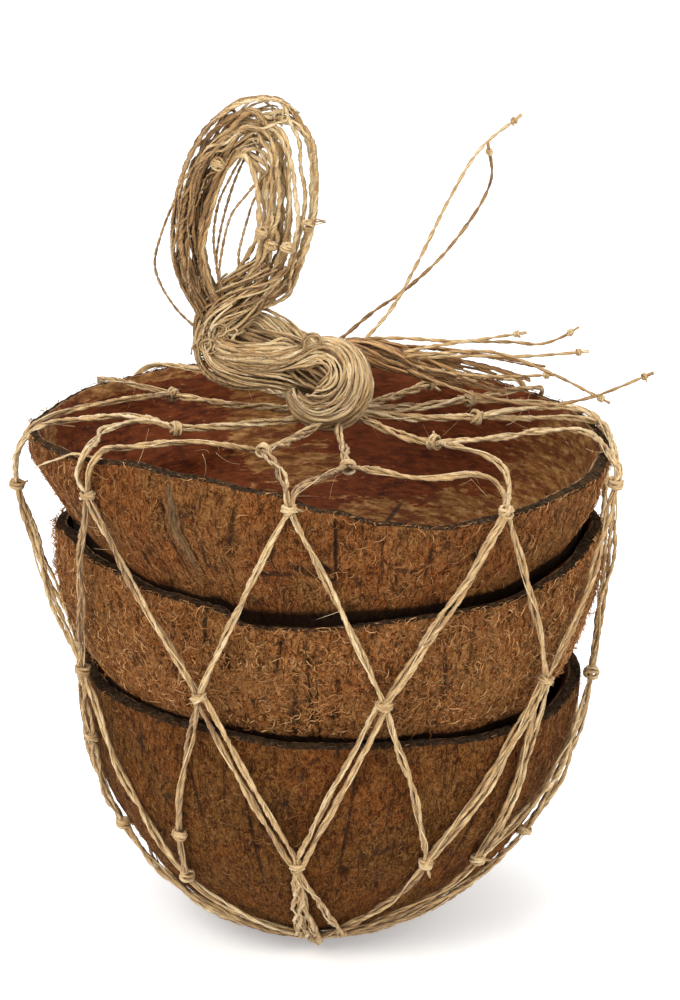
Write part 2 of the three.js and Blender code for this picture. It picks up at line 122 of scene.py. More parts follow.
def outerRadius(shell, z, azimuth):
    angle = np.radians(azimuth)
    wave = 0.6 * np.sin(15 * angle + shell["widestZ"]) + 0.4 * np.sin(8 * angle - shell["widestZ"])
    return smoothRadius(shell, z, azimuth) + shell["ridge"] * bowlShare(shell, dropOf(shell, z)) * wave


def innerRadius(shell, z, azimuth):
    inside = dropOf(shell, z) * shell["depth"] / (shell["depth"] - shell["wall"])
    return (shell["radius"] - shell["wall"]) * bowlShare(shell, inside) * lobesOf(shell, azimuth)


def axisX(shell, z):
    return shell["centreX"] + shell["lean"] * dropOf(shell, z) ** 2


def offAxis(other, shell, z, azimuth):
    return (axisX(other, z) - axisX(shell, z)) * np.sin(np.radians(azimuth))


def placed(shell, r, azimuth, z):
    angle = np.radians(azimuth)
    return np.stack([axisX(shell, z) + r * np.sin(angle), -r * np.cos(angle), z + 0 * r], -1)


# Length down the husk's outside from its widest level, so that its grain runs evenly into the bowl
for shell in stack:
    levels = np.linspace(shell["widestZ"], shell["footZ"], 60)
    radii = smoothRadius({**shell, "lobe": 0}, levels, 0)
    lengths = np.concatenate([[0], np.cumsum(np.hypot(np.diff(radii), np.diff(levels)))])
    shell["levels"] = np.concatenate([[shell["widestZ"] + 50], levels])
    shell["lengths"] = np.concatenate([[-50], lengths])


def downHusk(shell, z):
    return np.interp(-np.asarray(z, float), -shell["levels"], shell["lengths"])


def heightAt(shell, run):
    return np.interp(run, shell["lengths"], shell["levels"])


# Cracks, dents and worn stripes: azimuth and height of both ends, half width, depth (below 0: pale)
scars = {
    "shell_top": [
        [-28.2, 131, -25.2, 106, 1.25, -0.25], [-30, 126, -27, 104, 0.35, 0.5],
        [-26, 124, -23.4, 103, 0.3, 0.5], [-49, 117.5, -48, 115.5, 0.7, 0.5],
        [-40, 113, -38.5, 112, 0.6, 0.4], [-21, 109.5, -20, 107.5, 0.8, 0.5], [-6, 112, 4, 107, 1.0, 0.5],
        [-8, 117, -9, 112, 0.5, 0.4], [14, 110, 20, 108.5, 0.6, 0.4], [-15.2, 125, -17, 113, 0.6, 0.45],
        [-13, 109, -4, 109.5, 0.8, 0.5], [-2, 115, 3, 109.5, 0.6, 0.5], [3.2, 124, 3.4, 104, 0.4, 0.6],
        [12, 119, 12.5, 106, 0.35, 0.4], [22, 117, 21, 106, 0.4, 0.4], [33, 115, 32, 103, 0.35, 0.4],
        [-22, 117, -23, 108, 0.5, 0.5], [46, 114, 45, 102, 0.4, 0.4], [120, 118, 118, 100, 0.8, 0.5],
        [-130, 118, -128, 98, 0.7, 0.6], [175, 118, 173, 100, 1.2, 0.4], [-60, 124, -57, 106, 0.5, 0.5]],
    "shell_middle": [
        [-5, 95.5, -3.9, 62, 0.5, 0.5], [-3.2, 95, -2.6, 62, 0.3, 0.35], [24, 90, 25, 72, 0.5, 0.5],
        [-8.6, 76, -8.4, 70, 1.2, 0.3], [-26, 98, -27.5, 87, 0.5, 0.5], [-10, 93, -11.5, 84, 0.35, 0.5],
        [-7.6, 80, -8.2, 66, 0.9, 0.35], [30, 96, 29, 80, 0.35, 0.4], [52, 98, 50, 78, 0.4, 0.4],
        [95, 99, 96, 70, 0.6, 0.5], [160, 98, 158, 64, 0.7, 0.6], [-100, 98, -99, 70, 0.5, 0.5]],
    "shell_bottom": [
        [6, 63, 3, 30, 0.4, 0.4], [-20, 60, -17, 25, 0.35, 0.35], [40, 58, 34, 22, 0.4, 0.35],
        [15, 60, 13, 40, 0.3, 0.3], [-33, 62, -30, 38, 0.35, 0.35], [110, 60, 105, 20, 0.6, 0.5],
        [-120, 62, -112, 22, 0.6, 0.5]],
}


def huskRelief(shell, azimuth, z, run):
    angle = math.radians(azimuth)
    x = shell["radius"] * math.sin(angle)
    y = shell["radius"] * math.cos(angle)
    seed = shell["seed"]
    rough = shell["rough"]
    lumps = 0.6 * noise.noise((x * 0.06, y * 0.06, run * 0.05 + seed))
    strands = 0.4 * noise.noise((x * 0.42, y * 0.42, run * 0.1 + seed))
    tufts = 0.36 * noise.noise((x * 0.36 + 7, y * 0.36, run * 0.3 + seed))
    fine = 0.42 * noise.noise((x * 0.85, y * 0.85, run * 0.5 + seed))
    pit = noise.noise((x * 0.34, y * 0.34 + 11, run * 0.2 + seed))
    relief = lumps + rough * (strands + tufts + fine) - 1.5 * rough * max(0, pit - 0.25)
    if shell is topShell:  # a knob of coir left at the right of the rim
        relief += 2.2 * math.exp(-((azimuth - 86) / 3.0) ** 2 - ((run - 2) / 2.6) ** 2)
    for fromAt, fromZ, toAt, toZ, half, deep in scars[shell["name"]]:
        t = (fromZ - z) / (fromZ - toZ)
        if -0.1 < t < 1.1:
            away = (azimuth - fromAt - (toAt - fromAt) * t + 180) % 360 - 180
            wander = 0.6 * noise.noise((run * 0.12, seed, fromAt))
            across = abs(math.radians(away) * shell["radius"] + wander)
            if across < 2.5 * half:
                fade = min(1, max(0, 5 * (t + 0.1))) * min(1, max(0, 5 * (1.1 - t)))
                relief -= deep * fade * math.exp(-(across / half) ** 2)
    return relief


def finishMesh(obj, smoothAngle=60):
    bpy.ops.object.select_all(action='DESELECT')
    obj.select_set(True)
    bpy.context.view_layer.objects.active = obj
    bpy.ops.object.shade_smooth_by_angle(angle=math.radians(smoothAngle))
    bpy.ops.object.select_all(action='DESELECT')


def rooted(obj):
    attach(obj, "root")
    return obj


def addData(mesh, name, values, kind='FLOAT'):
    layer = mesh.attributes.new(name, kind, 'POINT')
    layer.data.foreach_set("value" if kind == 'FLOAT' else "vector", np.asarray(values, np.float32).ravel())


def lengthAlong(path):
    return np.concatenate([[0], np.cumsum(np.linalg.norm(np.diff(path, axis=0), axis=1))])


# Where a shell sits in the one below: how far out it may reach, its height above that rim, the gap's height
# (which also sets how high the painted shade of the gap reaches up its husk)
def roomIn(shell, below, z, azimuth):
    belowRim = valueRound(below["rim"], azimuth)
    gapAndPaintedShade = valueRound(shell["gapAndPaintedShade"], azimuth)
    room = outerRadius(below, np.minimum(z, belowRim), azimuth) - shellMesh["nestRoom"] - 0.5 * gapAndPaintedShade
    room = room + offAxis(below, shell, z, azimuth)
    return room + 0.6 * np.maximum(0, z - belowRim - 0.6), z - belowRim, gapAndPaintedShade


def skinRadius(shell, below, z, azimuth):
    r = outerRadius(shell, z, azimuth)
    return np.minimum(r, roomIn(shell, below, z, azimuth)[0]) if below else r


# A half shell: a grid wrapped into a cup, with rows from the pole up the husk, over the rim and down inside
def makeShell(shell, above, below):
    columns = shellMesh["columns"] // 1
    hidden, shown = shellMesh["hiddenRows"], shellMesh["shownRows"] + (0 if below else 14)
    rimRows, innerRows = shellMesh["rimRows"], shellMesh["innerRows"] + (0 if above else 26)
    rows = hidden + shown + rimRows + innerRows
    bpy.ops.mesh.primitive_grid_add(x_subdivisions=columns, y_subdivisions=rows, size=1)
    obj = bpy.context.object
    obj.name = shell["name"] + "_husk"
    mesh = obj.data
    flat = np.empty(len(mesh.vertices) * 3, dtype=np.float32)
    mesh.vertices.foreach_get("co", flat)
    flat = flat.reshape(-1, 3)
    column = np.rint((flat[:, 0] + 0.5) * columns).astype(int)
    row = np.rint((flat[:, 1] + 0.5) * rows).astype(int)
    azimuth = 360.0 * (column % columns) / columns
    rimZ = valueRound(shell["rim"], azimuth)
    ragged = []
    for a in np.radians(azimuth[:columns]):
        spot = (shell["radius"] * math.sin(a) * 0.8, shell["radius"] * math.cos(a) * 0.8, shell["seed"])
        ragged.append(0.32 * noise.noise(spot))
    rimZ = rimZ + np.array(ragged)[column % columns]
    lipZ = rimZ - shellMesh["lipDrop"]
    huskTop = rimZ - shellMesh["bevel"]
    outside = row <= hidden + shown
    tall = huskTop - shell["footZ"]
    split = np.arccos(1 - (shell["shownFrom"] - shell["footZ"]) / tall) / (math.pi / 2)
    t = np.where(row <= hidden, split * row / hidden, split + (1 - split) * (row - hidden) / shown)
    z = shell["footZ"] + tall * (1 - np.cos(math.pi / 2 * np.clip(t, 0, 1)))
    run = downHusk(shell, z)
    r = outerRadius(shell, z, azimuth)
    relief = np.zeros(len(r))
    mark = np.zeros(len(r))
    for i in np.nonzero(outside)[0]:
        relief[i] = huskRelief(shell, azimuth[i], z[i], run[i])
    edge = smoothStep(huskTop - z, 0, shellMesh["crispEdge"])  # the saw leaves the edge crisp
    low = np.clip((z - shell["footZ"]) / shellMesh["wornFoot"], 0, 1)  # and the foot is worn flat
    r = r + relief * low * (0.35 + 0.65 * edge)
    if below:  # it sits inside the next rim down, with a gap round it; the husk in that gap gets a painted shade
        room, clear, gapAndPaintedShade = roomIn(shell, below, z, azimuth)
        r = np.minimum(r, room)
        # painted shade: mark darkens the husk from the rim below up to the gap's height, as the gap's
        # shadow would
        mark = 1.25 * (1 - smoothStep(clear, -0.5, gapAndPaintedShade))
    r = np.where(row == 0, 0, r)
    # cut rim
    rimEdge = outerRadius(shell, rimZ, azimuth)
    rimRelief = relief[np.argsort(row * 100000 + column)].reshape(rows + 1, columns + 1)[hidden + shown]
    rimEdge = rimEdge + 0.35 * rimRelief[column]
    onRim = (row > hidden + shown) & (row <= hidden + shown + rimRows)
    across = (row - hidden - shown) / rimRows
    grain = np.array([noise.noise((azimuth[i] * 1.3, across[i] * 3.0, shell["seed"]))
                      for i in range(len(r))])
    rimWall = valueRound(shell["rimWall"], azimuth)
    rimR = rimEdge - rimWall * np.clip(across, 0.04, 1)
    slope = shellMesh["bevel"] * (1 - np.clip(1.25 * across, 0, 1)) ** 1.4
    rimHeight = rimZ - shellMesh["lipDrop"] * np.clip(across, 0, 1) ** 2 - slope
    rimHeight = rimHeight + 0.25 * grain * np.sin(np.clip(across, 0, 1) * math.pi)
    # inside
    floorZ = shell["footZ"] + shell["wall"]
    inward = np.clip((row - hidden - shown - rimRows) / innerRows, 0, 1)
    innerZ = floorZ + (lipZ - floorZ) * np.cos(math.pi / 2 * inward)
    inR = innerRadius(shell, innerZ, azimuth)
    ease = smoothStep(inward, 0, 0.12 if above else 0.3)
    inR = np.minimum((rimEdge - rimWall) * (1 - ease) + inR * ease, rimEdge - rimWall)
    if above:
        room = outerRadius(above, np.minimum(innerZ, 118), azimuth) + 0.9
        room = room + offAxis(above, shell, innerZ, azimuth)
        inR = np.where(innerZ > above["footZ"] - 0.5, np.maximum(inR, room), inR)
    wallLeft = shellMesh["leastHiddenWall" if above else "leastWall"]
    inR = np.minimum(inR, skinRadius(shell, below, innerZ, azimuth) - wallLeft)
    ripple = np.array([0.14 * noise.noise((p[0] * 0.12, p[1] * 0.12, p[2] * 0.12))
                       for p in placed(shell, inR, azimuth, innerZ)])
    inR = inR + (0 if above else 1) * ripple
    r = np.where(onRim, rimR, np.where(inward > 0, inR, r))
    z = np.where(onRim, rimHeight, np.where(inward > 0, innerZ, z))
    r = np.where(row == rows, 0, r)
    mesh.vertices.foreach_set("co", (placed(shell, r, azimuth, z) * mm).astype(np.float32).ravel())
    mesh.update()
    angle = np.radians(azimuth)
    run = np.where(outside, run, downHusk(shell, z))
    grainAt = np.stack([shell["radius"] * np.sin(angle), -shell["radius"] * np.cos(angle), run], -1)
    addData(mesh, "grain", grainAt, 'FLOAT_VECTOR')
    # the relief is kept so the husk material can paint shade into its recesses
    addData(mesh, "paintedShadeRelief", np.where(outside, relief, 0))
    # mark holds the painted shade of the gap on the husk, and the place across the cut on the rim
    addData(mesh, "mark", np.where(onRim, across, mark))
    middleRow = np.array([np.mean([row[v] for v in polygon.vertices]) for polygon in mesh.polygons])
    zone = np.where(middleRow < hidden + shown, 0, np.where(middleRow < hidden + shown + rimRows, 1, 2))
    mesh.polygons.foreach_set("material_index", zone.astype(np.int32))
    bpy.ops.object.mode_set(mode='EDIT')
    bpy.ops.mesh.select_all(action='SELECT')
    bpy.ops.mesh.remove_doubles(threshold=0.02 * mm)
    bpy.ops.mesh.normals_make_consistent(inside=False)
    bpy.ops.object.mode_set(mode='OBJECT')
    finishMesh(obj, 70)
    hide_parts(shell["name"])
    return rooted(obj)


shells = []
for shell, above, below in ((bottomShell, middleShell, None), (middleShell, topShell, bottomShell),
                            (topShell, None, middleShell)):
    shells.append(makeShell(shell, above, below))
    print("husk shaped:", shell["name"])


# Loose coir fibres: thin three-sided hairs that lie in the husk or curl up from it
coir = {
    "shell_bottom": {"count": 2600, "low": 8, "lift": 0.3, "wild": 0.9, "length": (1, 4),
                     "thick": (0.04, 0.1), "tufts": []},
    "shell_middle": {"count": 8400, "low": 60, "lift": 0.6, "wild": 1.6, "length": (1.2, 4.6),
                     "thick": (0.05, 0.14), "tufts": [(-88, 92, 4, 7, 160), (86, 88, 4, 7, 60)]},
    "shell_top": {"count": 4600, "low": 92, "lift": 0.35, "wild": 0.8, "length": (1, 4),
                  "thick": (0.04, 0.12),
                  "tufts": [(86, 118.2, 2.2, 1.6, 160), (-92, 117, 5, 5, 60), (-140, 121, 6, 1, 30)]},
}
fibreSteps = 3


def meshFrom(name, points, faces, loopUv=None, shade=None):
    mesh = bpy.data.meshes.new(name)
    faces = np.asarray(faces, dtype=np.int32)
    size = faces.shape[1]
    mesh.vertices.add(len(points))
    mesh.loops.add(faces.size)
    mesh.polygons.add(len(faces))
    mesh.vertices.foreach_set("co", (np.asarray(points) * mm).astype(np.float32).ravel())
    mesh.loops.foreach_set("vertex_index", faces.ravel())
    mesh.polygons.foreach_set("loop_start", np.arange(0, faces.size, size, dtype=np.int32))
    mesh.polygons.foreach_set("use_smooth", np.ones(len(faces), dtype=bool))
    if loopUv is not None:
        layer = mesh.uv_layers.new(name="along")
        layer.data.foreach_set("uv", np.asarray(loopUv, dtype=np.float32).ravel())
    if shade is not None:
        addData(mesh, "shade", shade)
    mesh.update(calc_edges=True)
    mesh.validate()
    obj = bpy.data.objects.new(name, mesh)
    bpy.context.collection.objects.link(obj)
    return obj


def makeCoir(shell, below):
    style = coir[shell["name"]]
    draw = np.random.default_rng(shell["seed"])
    count = style["count"] // 1
    azimuth = draw.uniform(-180, 180, count)
    rimZ = valueRound(shell["rim"], azimuth)
    low = np.full(count, float(style["low"]))
    if below:
        low = np.maximum(low, valueRound(below["rim"], azimuth) + 0.9 * valueRound(shell["gapAndPaintedShade"], azimuth))
    run = downHusk(shell, low + (rimZ + 0.3 - low) * draw.random(count))
    standing = draw.random(count) < 0.15 * style["lift"]
    first = 0
    for at, z, wide, tall, hairs in style["tufts"]:  # bristly places that show at the outline
        part = slice(first, first + hairs)
        azimuth[part] = draw.normal(at, wide, hairs)
        run[part] = downHusk(shell, draw.normal(z, tall, hairs))
        standing[part] = True
        first += hairs
    rimZ = valueRound(shell["rim"], azimuth)
    thick = draw.uniform(*style["thick"], count)
    length = draw.uniform(*style["length"], count)
    heading = draw.normal(0, style["wild"], count) + math.pi * draw.integers(0, 2, count)
    curl = draw.normal(0, 0.7 + 0.75 * style["wild"], count)
    lift = np.abs(draw.normal(0, style["lift"], count)) * (0.4 + 0.6 * thick / style["thick"][1])
    lift = np.where(standing, draw.uniform(0.3, 0.75, count) * length, lift)
    rings = []
    for i in range(fibreSteps + 1):
        share = i / fibreSteps
        rise = lift * np.where(standing, share, math.sin(math.pi * min(1, share * 1.08)))
        here = np.minimum(heightAt(shell, run), rimZ - 0.2)
        r = skinRadius(shell, below, here, azimuth) + rise - 0.12
        width = (thick * (1 - 0.75 * share ** 2))[:, None]
        centre = placed(shell, r, azimuth, here)
        angle = np.radians(azimuth)
        out = np.stack([np.sin(angle), -np.cos(angle), 0 * angle], -1)
        side = np.stack([np.cos(angle), np.sin(angle), 0 * angle], -1)
        across = side * np.cos(heading)[:, None] + np.array([0, 0, 1.0]) * np.sin(heading)[:, None]
        rings.append(np.stack([centre + width * across, centre - width * across,
                               centre + 1.5 * width * out], 1))
        heading = heading + curl / fibreSteps * 2 + draw.normal(0, 0.2 * style["wild"], count)
        azimuth = azimuth + np.degrees(length / fibreSteps * np.sin(heading) / shell["radius"])
        run = run + length / fibreSteps * np.cos(heading)
    points = np.stack(rings, 1).reshape(-1, 3)
    one = []
    for i in range(fibreSteps):
        for j in range(3):
            a, b = 3 * i + j, 3 * i + (j + 1) % 3
            one += [(a, b, b + 3), (a, b + 3, a + 3)]
    last = 3 * fibreSteps
    one += [(2, 1, 0), (last, last + 1, last + 2)]
    each = 3 * (fibreSteps + 1)
    faces = (np.array(one)[None] + each * np.arange(count)[:, None, None]).reshape(-1, 3)
    shade = np.repeat(np.clip(draw.normal(0.5, 0.24, count), 0, 1), each)
    obj = meshFrom(shell["name"] + "_coir", points, faces, shade=shade)
    return rooted(obj)


coirPieces = []
for shell, below in zip(stack, (None, bottomShell, middleShell)):
    coirPieces.append(makeCoir(shell, below))
    print("coir laid:", shell["name"])


# Twine: two plies twisted together, drawn as one skin with two lobes that turns along its path
twineAngles = np.radians([0, 52, 96, 180, 232, 276])
twineRadii = np.array([1, 0.92, 0.64, 0.98, 0.9, 0.62])
plainAngles = np.radians([0, 90, 180, 270])  # one ply by itself, a flat ribbon
plainRadii = np.array([1, 0.75, 1, 0.75])
twineSet = {"radius": 0.56, "pitch": 8.5, "step": 0.9}


def evenPath(points, step):
    p = np.asarray(points, float)
    p = np.vstack([2 * p[0] - p[1], p, 2 * p[-1] - p[-2]])
    fine = []
    for a, b, c, d in zip(p[:-3], p[1:-2], p[2:-1], p[3:]):
        t1 = max(1e-4, np.linalg.norm(b - a)) ** 0.5
        t2 = t1 + max(1e-4, np.linalg.norm(c - b)) ** 0.5
        t3 = t2 + max(1e-4, np.linalg.norm(d - c)) ** 0.5
        t = np.linspace(t1, t2, 14, endpoint=False)[:, None]
        ab = ((t1 - t) * a + t * b) / t1
        bc = ((t2 - t) * b + (t - t1) * c) / (t2 - t1)
        cd = ((t3 - t) * c + (t - t2) * d) / (t3 - t2)
        abc = ((t2 - t) * ab + t * bc) / t2
        bcd = ((t3 - t) * bc + (t - t1) * cd) / (t3 - t1)
        fine.append(((t2 - t) * abc + (t - t1) * bcd) / (t2 - t1))
    fine = np.vstack(fine + [p[-2][None]])
    run = lengthAlong(fine)
    even = np.linspace(0, run[-1], max(3, int(round(run[-1] / step)) + 1))
    return np.stack([np.interp(even, run, fine[:, k]) for k in range(3)], -1)


def framesAlong(path, up=(0, 0, 1)):
    tangent = np.gradient(path, axis=0)
    tangent /= np.maximum(1e-9, np.linalg.norm(tangent, axis=1))[:, None]
    normal = np.empty_like(path)
    first = np.asarray(up, float) + 1e-3
    for i, t in enumerate(tangent):
        first = first - t * np.dot(first, t)
        size = np.linalg.norm(first)
        if size < 1e-5:
            first = np.cross(t, (0.3, 0.5, 0.8))
            size = np.linalg.norm(first)
        first = first / size
        normal[i] = first
    return normal, np.cross(tangent, normal)


def sideways(normal, binormal, across, along):
    return across[:, None] * normal + along[:, None] * binormal


def newBag():
    return {"points": [], "faces": [], "uv": [], "shade": [], "count": 0}


def addTwine(bag, path, radius, draw, pitch=None, thin=(1, 1), tint=None, plain=False):
    pitch = pitch or twineSet["pitch"] * draw.uniform(0.85, 1.25)
    angles, radii = (plainAngles, plainRadii) if plain else (twineAngles, twineRadii)
    n = len(path)
    normal, binormal = framesAlong(path)
    run = lengthAlong(path)
    turn = draw.uniform(0, 6.28) + 2 * math.pi * run / pitch
    wave = 1 + 0.07 * np.sin(run / 3.1 + draw.uniform(0, 6)) + 0.05 * np.sin(run / 1.3 + draw.uniform(0, 6))
    width = radius * wave * np.linspace(thin[0], thin[1], n)
    sides = len(angles)
    angle = angles[None] + turn[:, None]
    reach = width[:, None] * radii[None]
    ring = (path[:, None] + (reach * np.cos(angle))[..., None] * normal[:, None]
            + (reach * np.sin(angle))[..., None] * binormal[:, None])
    base = bag["count"]
    i = np.arange(n - 1)[:, None] * sides
    j = np.arange(sides)[None]
    k = (j + 1) % sides
    faces = np.stack([i + j, i + k, i + k + sides, i + j + sides], -1).reshape(-1, 4)
    around = 2 * math.pi * radius
    u0, u1 = j / sides * around + 0 * i, (j + 1) / sides * around + 0 * i
    v0, v1 = run[:-1, None] + 0 * j, run[1:, None] + 0 * j
    shift = draw.uniform(0, 500)
    uv = np.stack([np.stack([u0, v0 + shift], -1), np.stack([u1, v0 + shift], -1),
                   np.stack([u1, v1 + shift], -1), np.stack([u0, v1 + shift], -1)], 2).reshape(-1, 2)
    end = (n - 1) * sides
    caps = np.array([(3, 2, 1, 0), (end, end + 1, end + 2, end + 3)])
    if not plain:
        caps = np.vstack([caps, [(5, 4, 3, 0), (end, end + 3, end + 4, end + 5)]])
    bag["points"].append(ring.reshape(-1, 3))
    bag["faces"] += [faces + base, caps + base]
    bag["uv"] += [uv, np.full((caps.size, 2), shift)]
    tints = np.zeros(n) + (draw.gauss(0.5, 0.24) if tint is None else tint)
    bag["shade"].append(np.repeat(tints + 0.1 * np.sin(run / 9 + shift), sides))
    bag["count"] += n * sides


def bagMesh(bag, name):
    obj = meshFrom(name, np.vstack(bag["points"]), np.vstack(bag["faces"]), np.vstack(bag["uv"]),
                   np.clip(np.concatenate(bag["shade"]), 0, 1))
    return rooted(obj)


# Several twines laid side by side along one line, turning slowly round each other
def addCord(bag, points, draw, twines=2, spread=0.62, flat=0.75, lay=34, radius=None, wander=0.45,
            step=None, ends=0.6):
    radius = radius or twineSet["radius"]
    path = evenPath(points, step or twineSet["step"])
    normal, binormal = framesAlong(path)
    n = len(path)
    run = lengthAlong(path)
    bulge = ends + (1 - ends) * np.sin(math.pi * np.linspace(0, 1, n)) ** 0.5
    start = draw.uniform(0, 6.28)
    lay = lay * draw.uniform(0.7, 1.4) * draw.choice((1, 1, 1, -1))
    for k in range(twines):
        angle = start + 2 * math.pi * (k / twines + run / lay)
        off = spread * bulge * (1 + 0.25 * np.sin(run / 6.0 + draw.uniform(0, 6)))
        sway = wander * np.sin(run / 4.7 + draw.uniform(0, 6)) * np.sin(math.pi * np.linspace(0, 1, n))
        if twines == 1:
            off = 0 * off
        shift = sideways(normal, binormal, off * np.cos(angle) * flat, off * np.sin(angle) + sway)
        addTwine(bag, path + shift, radius * draw.uniform(0.85, 1.1), draw)
        if k == 0:  # a thin strand that wanders round the others
            out = radius + 0.35 * off
            loose = sideways(normal, binormal, out * np.cos(2.3 - angle), out * np.sin(2.3 - angle))
            addTwine(bag, (path + loose)[::2], 0.22, draw, pitch=30, tint=0.75, plain=True)


# A knot: two tight slanting turns round the cords, a strand drawn across them and at times a short end
def addKnot(bag, centre, axis, size, draw, turns=1.4, radius=0.6):
    centre = np.asarray(centre, float)
    axis = np.asarray(axis, float) / np.linalg.norm(axis)
    slant = draw.choice((-1, 1)) * draw.uniform(0.15, 0.4)
    for part in range(3):
        around, high = axis, 0.62 * radius * (2 * part - 1) * draw.uniform(0.8, 1.3)
        if part == 2:  # the strand across
            across = np.cross(axis, centre * (1, 1, 0) + 1e-3)
            around = axis * 0.62 + across / np.linalg.norm(across) * 0.78 * draw.choice((-1, 1))
            high = 0
        normal, binormal = framesAlong(np.array([centre, centre + around]), up=(0.2, -1, 0.1))
        t = np.linspace(0, 1, int(15 * turns) + 2)
        angle = draw.uniform(0, 6.28) + 2 * math.pi * turns * t
        reach = size * draw.uniform(0.92, 1.08) * (0.82 + 0.18 * np.sin(math.pi * t))
        rise = high + (t - 0.5) * 0.9 * radius * turns + slant * (1 - part) * reach * np.cos(angle)
        path = (centre[None] + np.outer(rise, around)
                + np.outer(reach * np.cos(angle), normal[0]) + np.outer(reach * np.sin(angle), binormal[0]))
        addTwine(bag, evenPath(path, 0.65), radius * draw.uniform(0.85, 1.1), draw, pitch=9,
                 thin=(0.8, 0.8), tint=draw.uniform(0.5, 0.85))
    if draw.random() < 0.4:
        way = np.array([draw.gauss(0, 1), draw.gauss(-0.3, 0.6), draw.gauss(0, 0.7)])
        way = way / np.linalg.norm(way)
        points = [centre + way * size * k + (0, 0, -0.12 * k * k) for k in (0.5, 1.3, 2.0)]
        addTwine(bag, evenPath(points, 0.6), 0.8 * radius, draw, pitch=5, thin=(1, 0.7))


# Stray hairs that have worked loose from the twine
def addHairs(bag, path, count, draw, length=(3, 8), radius=0.05):
    for k in range(count):
        at = np.array(path[draw.randrange(len(path))], float)
        way = np.array([draw.gauss(0, 1) for i in range(3)])
        way /= np.linalg.norm(way)
        bend = np.array([draw.gauss(0, 1) for i in range(3)]) * 0.9
        size = draw.uniform(*length)
        points = []
        for t in (0, 0.3, 0.65, 1):
            points.append(at + way * size * t + bend * size * t * t * 0.6 - (0, 0, 0.08 * size * t * t))
        addTwine(bag, evenPath(points, size / 5), radius, draw, pitch=200, thin=(1, 0.4), tint=0.85)


# The net: its knots go round in rows, as in the solids
net = {
    "mouth": [
        [-66, 39], [-20, 43.5], [6, 40], [56, 29.5], [99, 35.5], [123, 40.5], [145, 42.5], [175, 41],
        [-151, 43], [-120, 44]],
    "rim": [
        [-48.4, 122, 0], [-7, 126, 0], [34.8, 120.9, 0], [76, 115.2, 0.9], [103, 114, 0], [132, 114.5, 0],
        [163, 115.5, 0], [-166, 115, 0], [-133, 115.5, 0], [-87, 111.5, 2.9]],
    "belt": [
        [-27, 77.5, 0], [11, 77.5, 0], [51, 75, 0], [83, 65, 0.8], [117, 72, 0], [149, 74, 0],
        [-178, 73, 0], [-146, 74, 0], [-101, 65, 0], [-64, 73.5, 0]],
    "bowl": [
        [-8, 34.5, 0], [25, 33, 0], [44, 29, 0], [68, 29, 0], [112, 32, 0], [152, 33, 0], [-168, 33, 0],
        [-120, 31, 0], [-76, 28.5, 0], [-43, 25, 0]],
    "splices": [[-68.5, 54, 0], [-38, 39, 0]],
    "gather": [-7, 5.5, 0], "hurry": 1.6,
    "crownFoot": (1.5, 0, 127), "crownRadius": 6, "crownReach": 9, "aboveRim": 1.3,
    "cord": 1.0, "air": 0.25, "knot": 1.6,
    "doubled": [[0, 0], [1, 0], [2, 2], [2, 1]],
    "detours": {
        (3, 2): [[30.1, -36.5, 129.5], [35.9, -38.2, 127.8], [39.3, -40.6, 125.6], [40.4, -44.5, 122.6]],
        (2, 2): [
            [10.8, -52, 128.8], [18.2, -54, 128], [25.6, -53, 127.6], [31.9, -49.2, 127.2],
            [36.4, -48, 125.6], [39, -48.9, 122.8]],
        (0, 0): [
            [-41.8, -9.8, 128], [-46.4, -11.5, 128.5], [-51.2, -22, 129.5], [-53.4, -38, 131.2],
            [-54.7, -46.2, 131.2], [-55.9, -47.4, 128.6], [-56.4, -47, 125.3]],
        (1, 0): [
            [-25.8, -35.1, 130], [-36, -35.9, 130.5], [-45.6, -38.2, 130.4], [-49.6, -45.2, 131.8],
            [-51.2, -49.8, 131.8], [-53.3, -50.2, 129]],
        (3, 3): [
            [35.7, -17.7, 126], [43, -10.3, 124.5], [50.7, -2.1, 123.3], [57.4, 2.1, 122.3],
            [61.6, 0.9, 121.8], [64.6, -7, 121], [66, -14, 119.8], [68.2, -15.2, 117.4]],
        (4, 3): [
            [41.4, 5.5, 126], [51.6, 13.2, 124.5], [56.7, 17.5, 123.5], [61.6, 18.6, 122.2],
            [65.2, 12, 121.1], [66.6, 1.5, 120.6], [67.6, -7, 118.6]],
        (9, 9): [
            [-44.1, 12.3, 127.5], [-52.3, 10.6, 127], [-60.6, 8, 126], [-66, 1.2, 125.7],
            [-69.8, -5, 125], [-73, -6, 120.8], [-74.2, -6, 116.2]],
        (0, 9): [
            [-42, -6.4, 127.5], [-49.2, -2.2, 127], [-58.7, -1.1, 126.2], [-64.5, -2.8, 125.8],
            [-68.8, -8, 125.4], [-72.8, -8.4, 121], [-74, -7.4, 116.4]],
    },
    "stray": [
        [-50.8, -45.5, 129.4], [-54.5, -44, 130], [-57.8, -41.8, 129.8], [-60.8, -38.6, 127.8],
        [-64.5, -33, 125], [-67.8, -26, 121.6]],
    "ends": [[-12.5, 8.5], [-9.5, 6.5], [-5.5, 6.5], [5, 9]],
}
outlines = {}


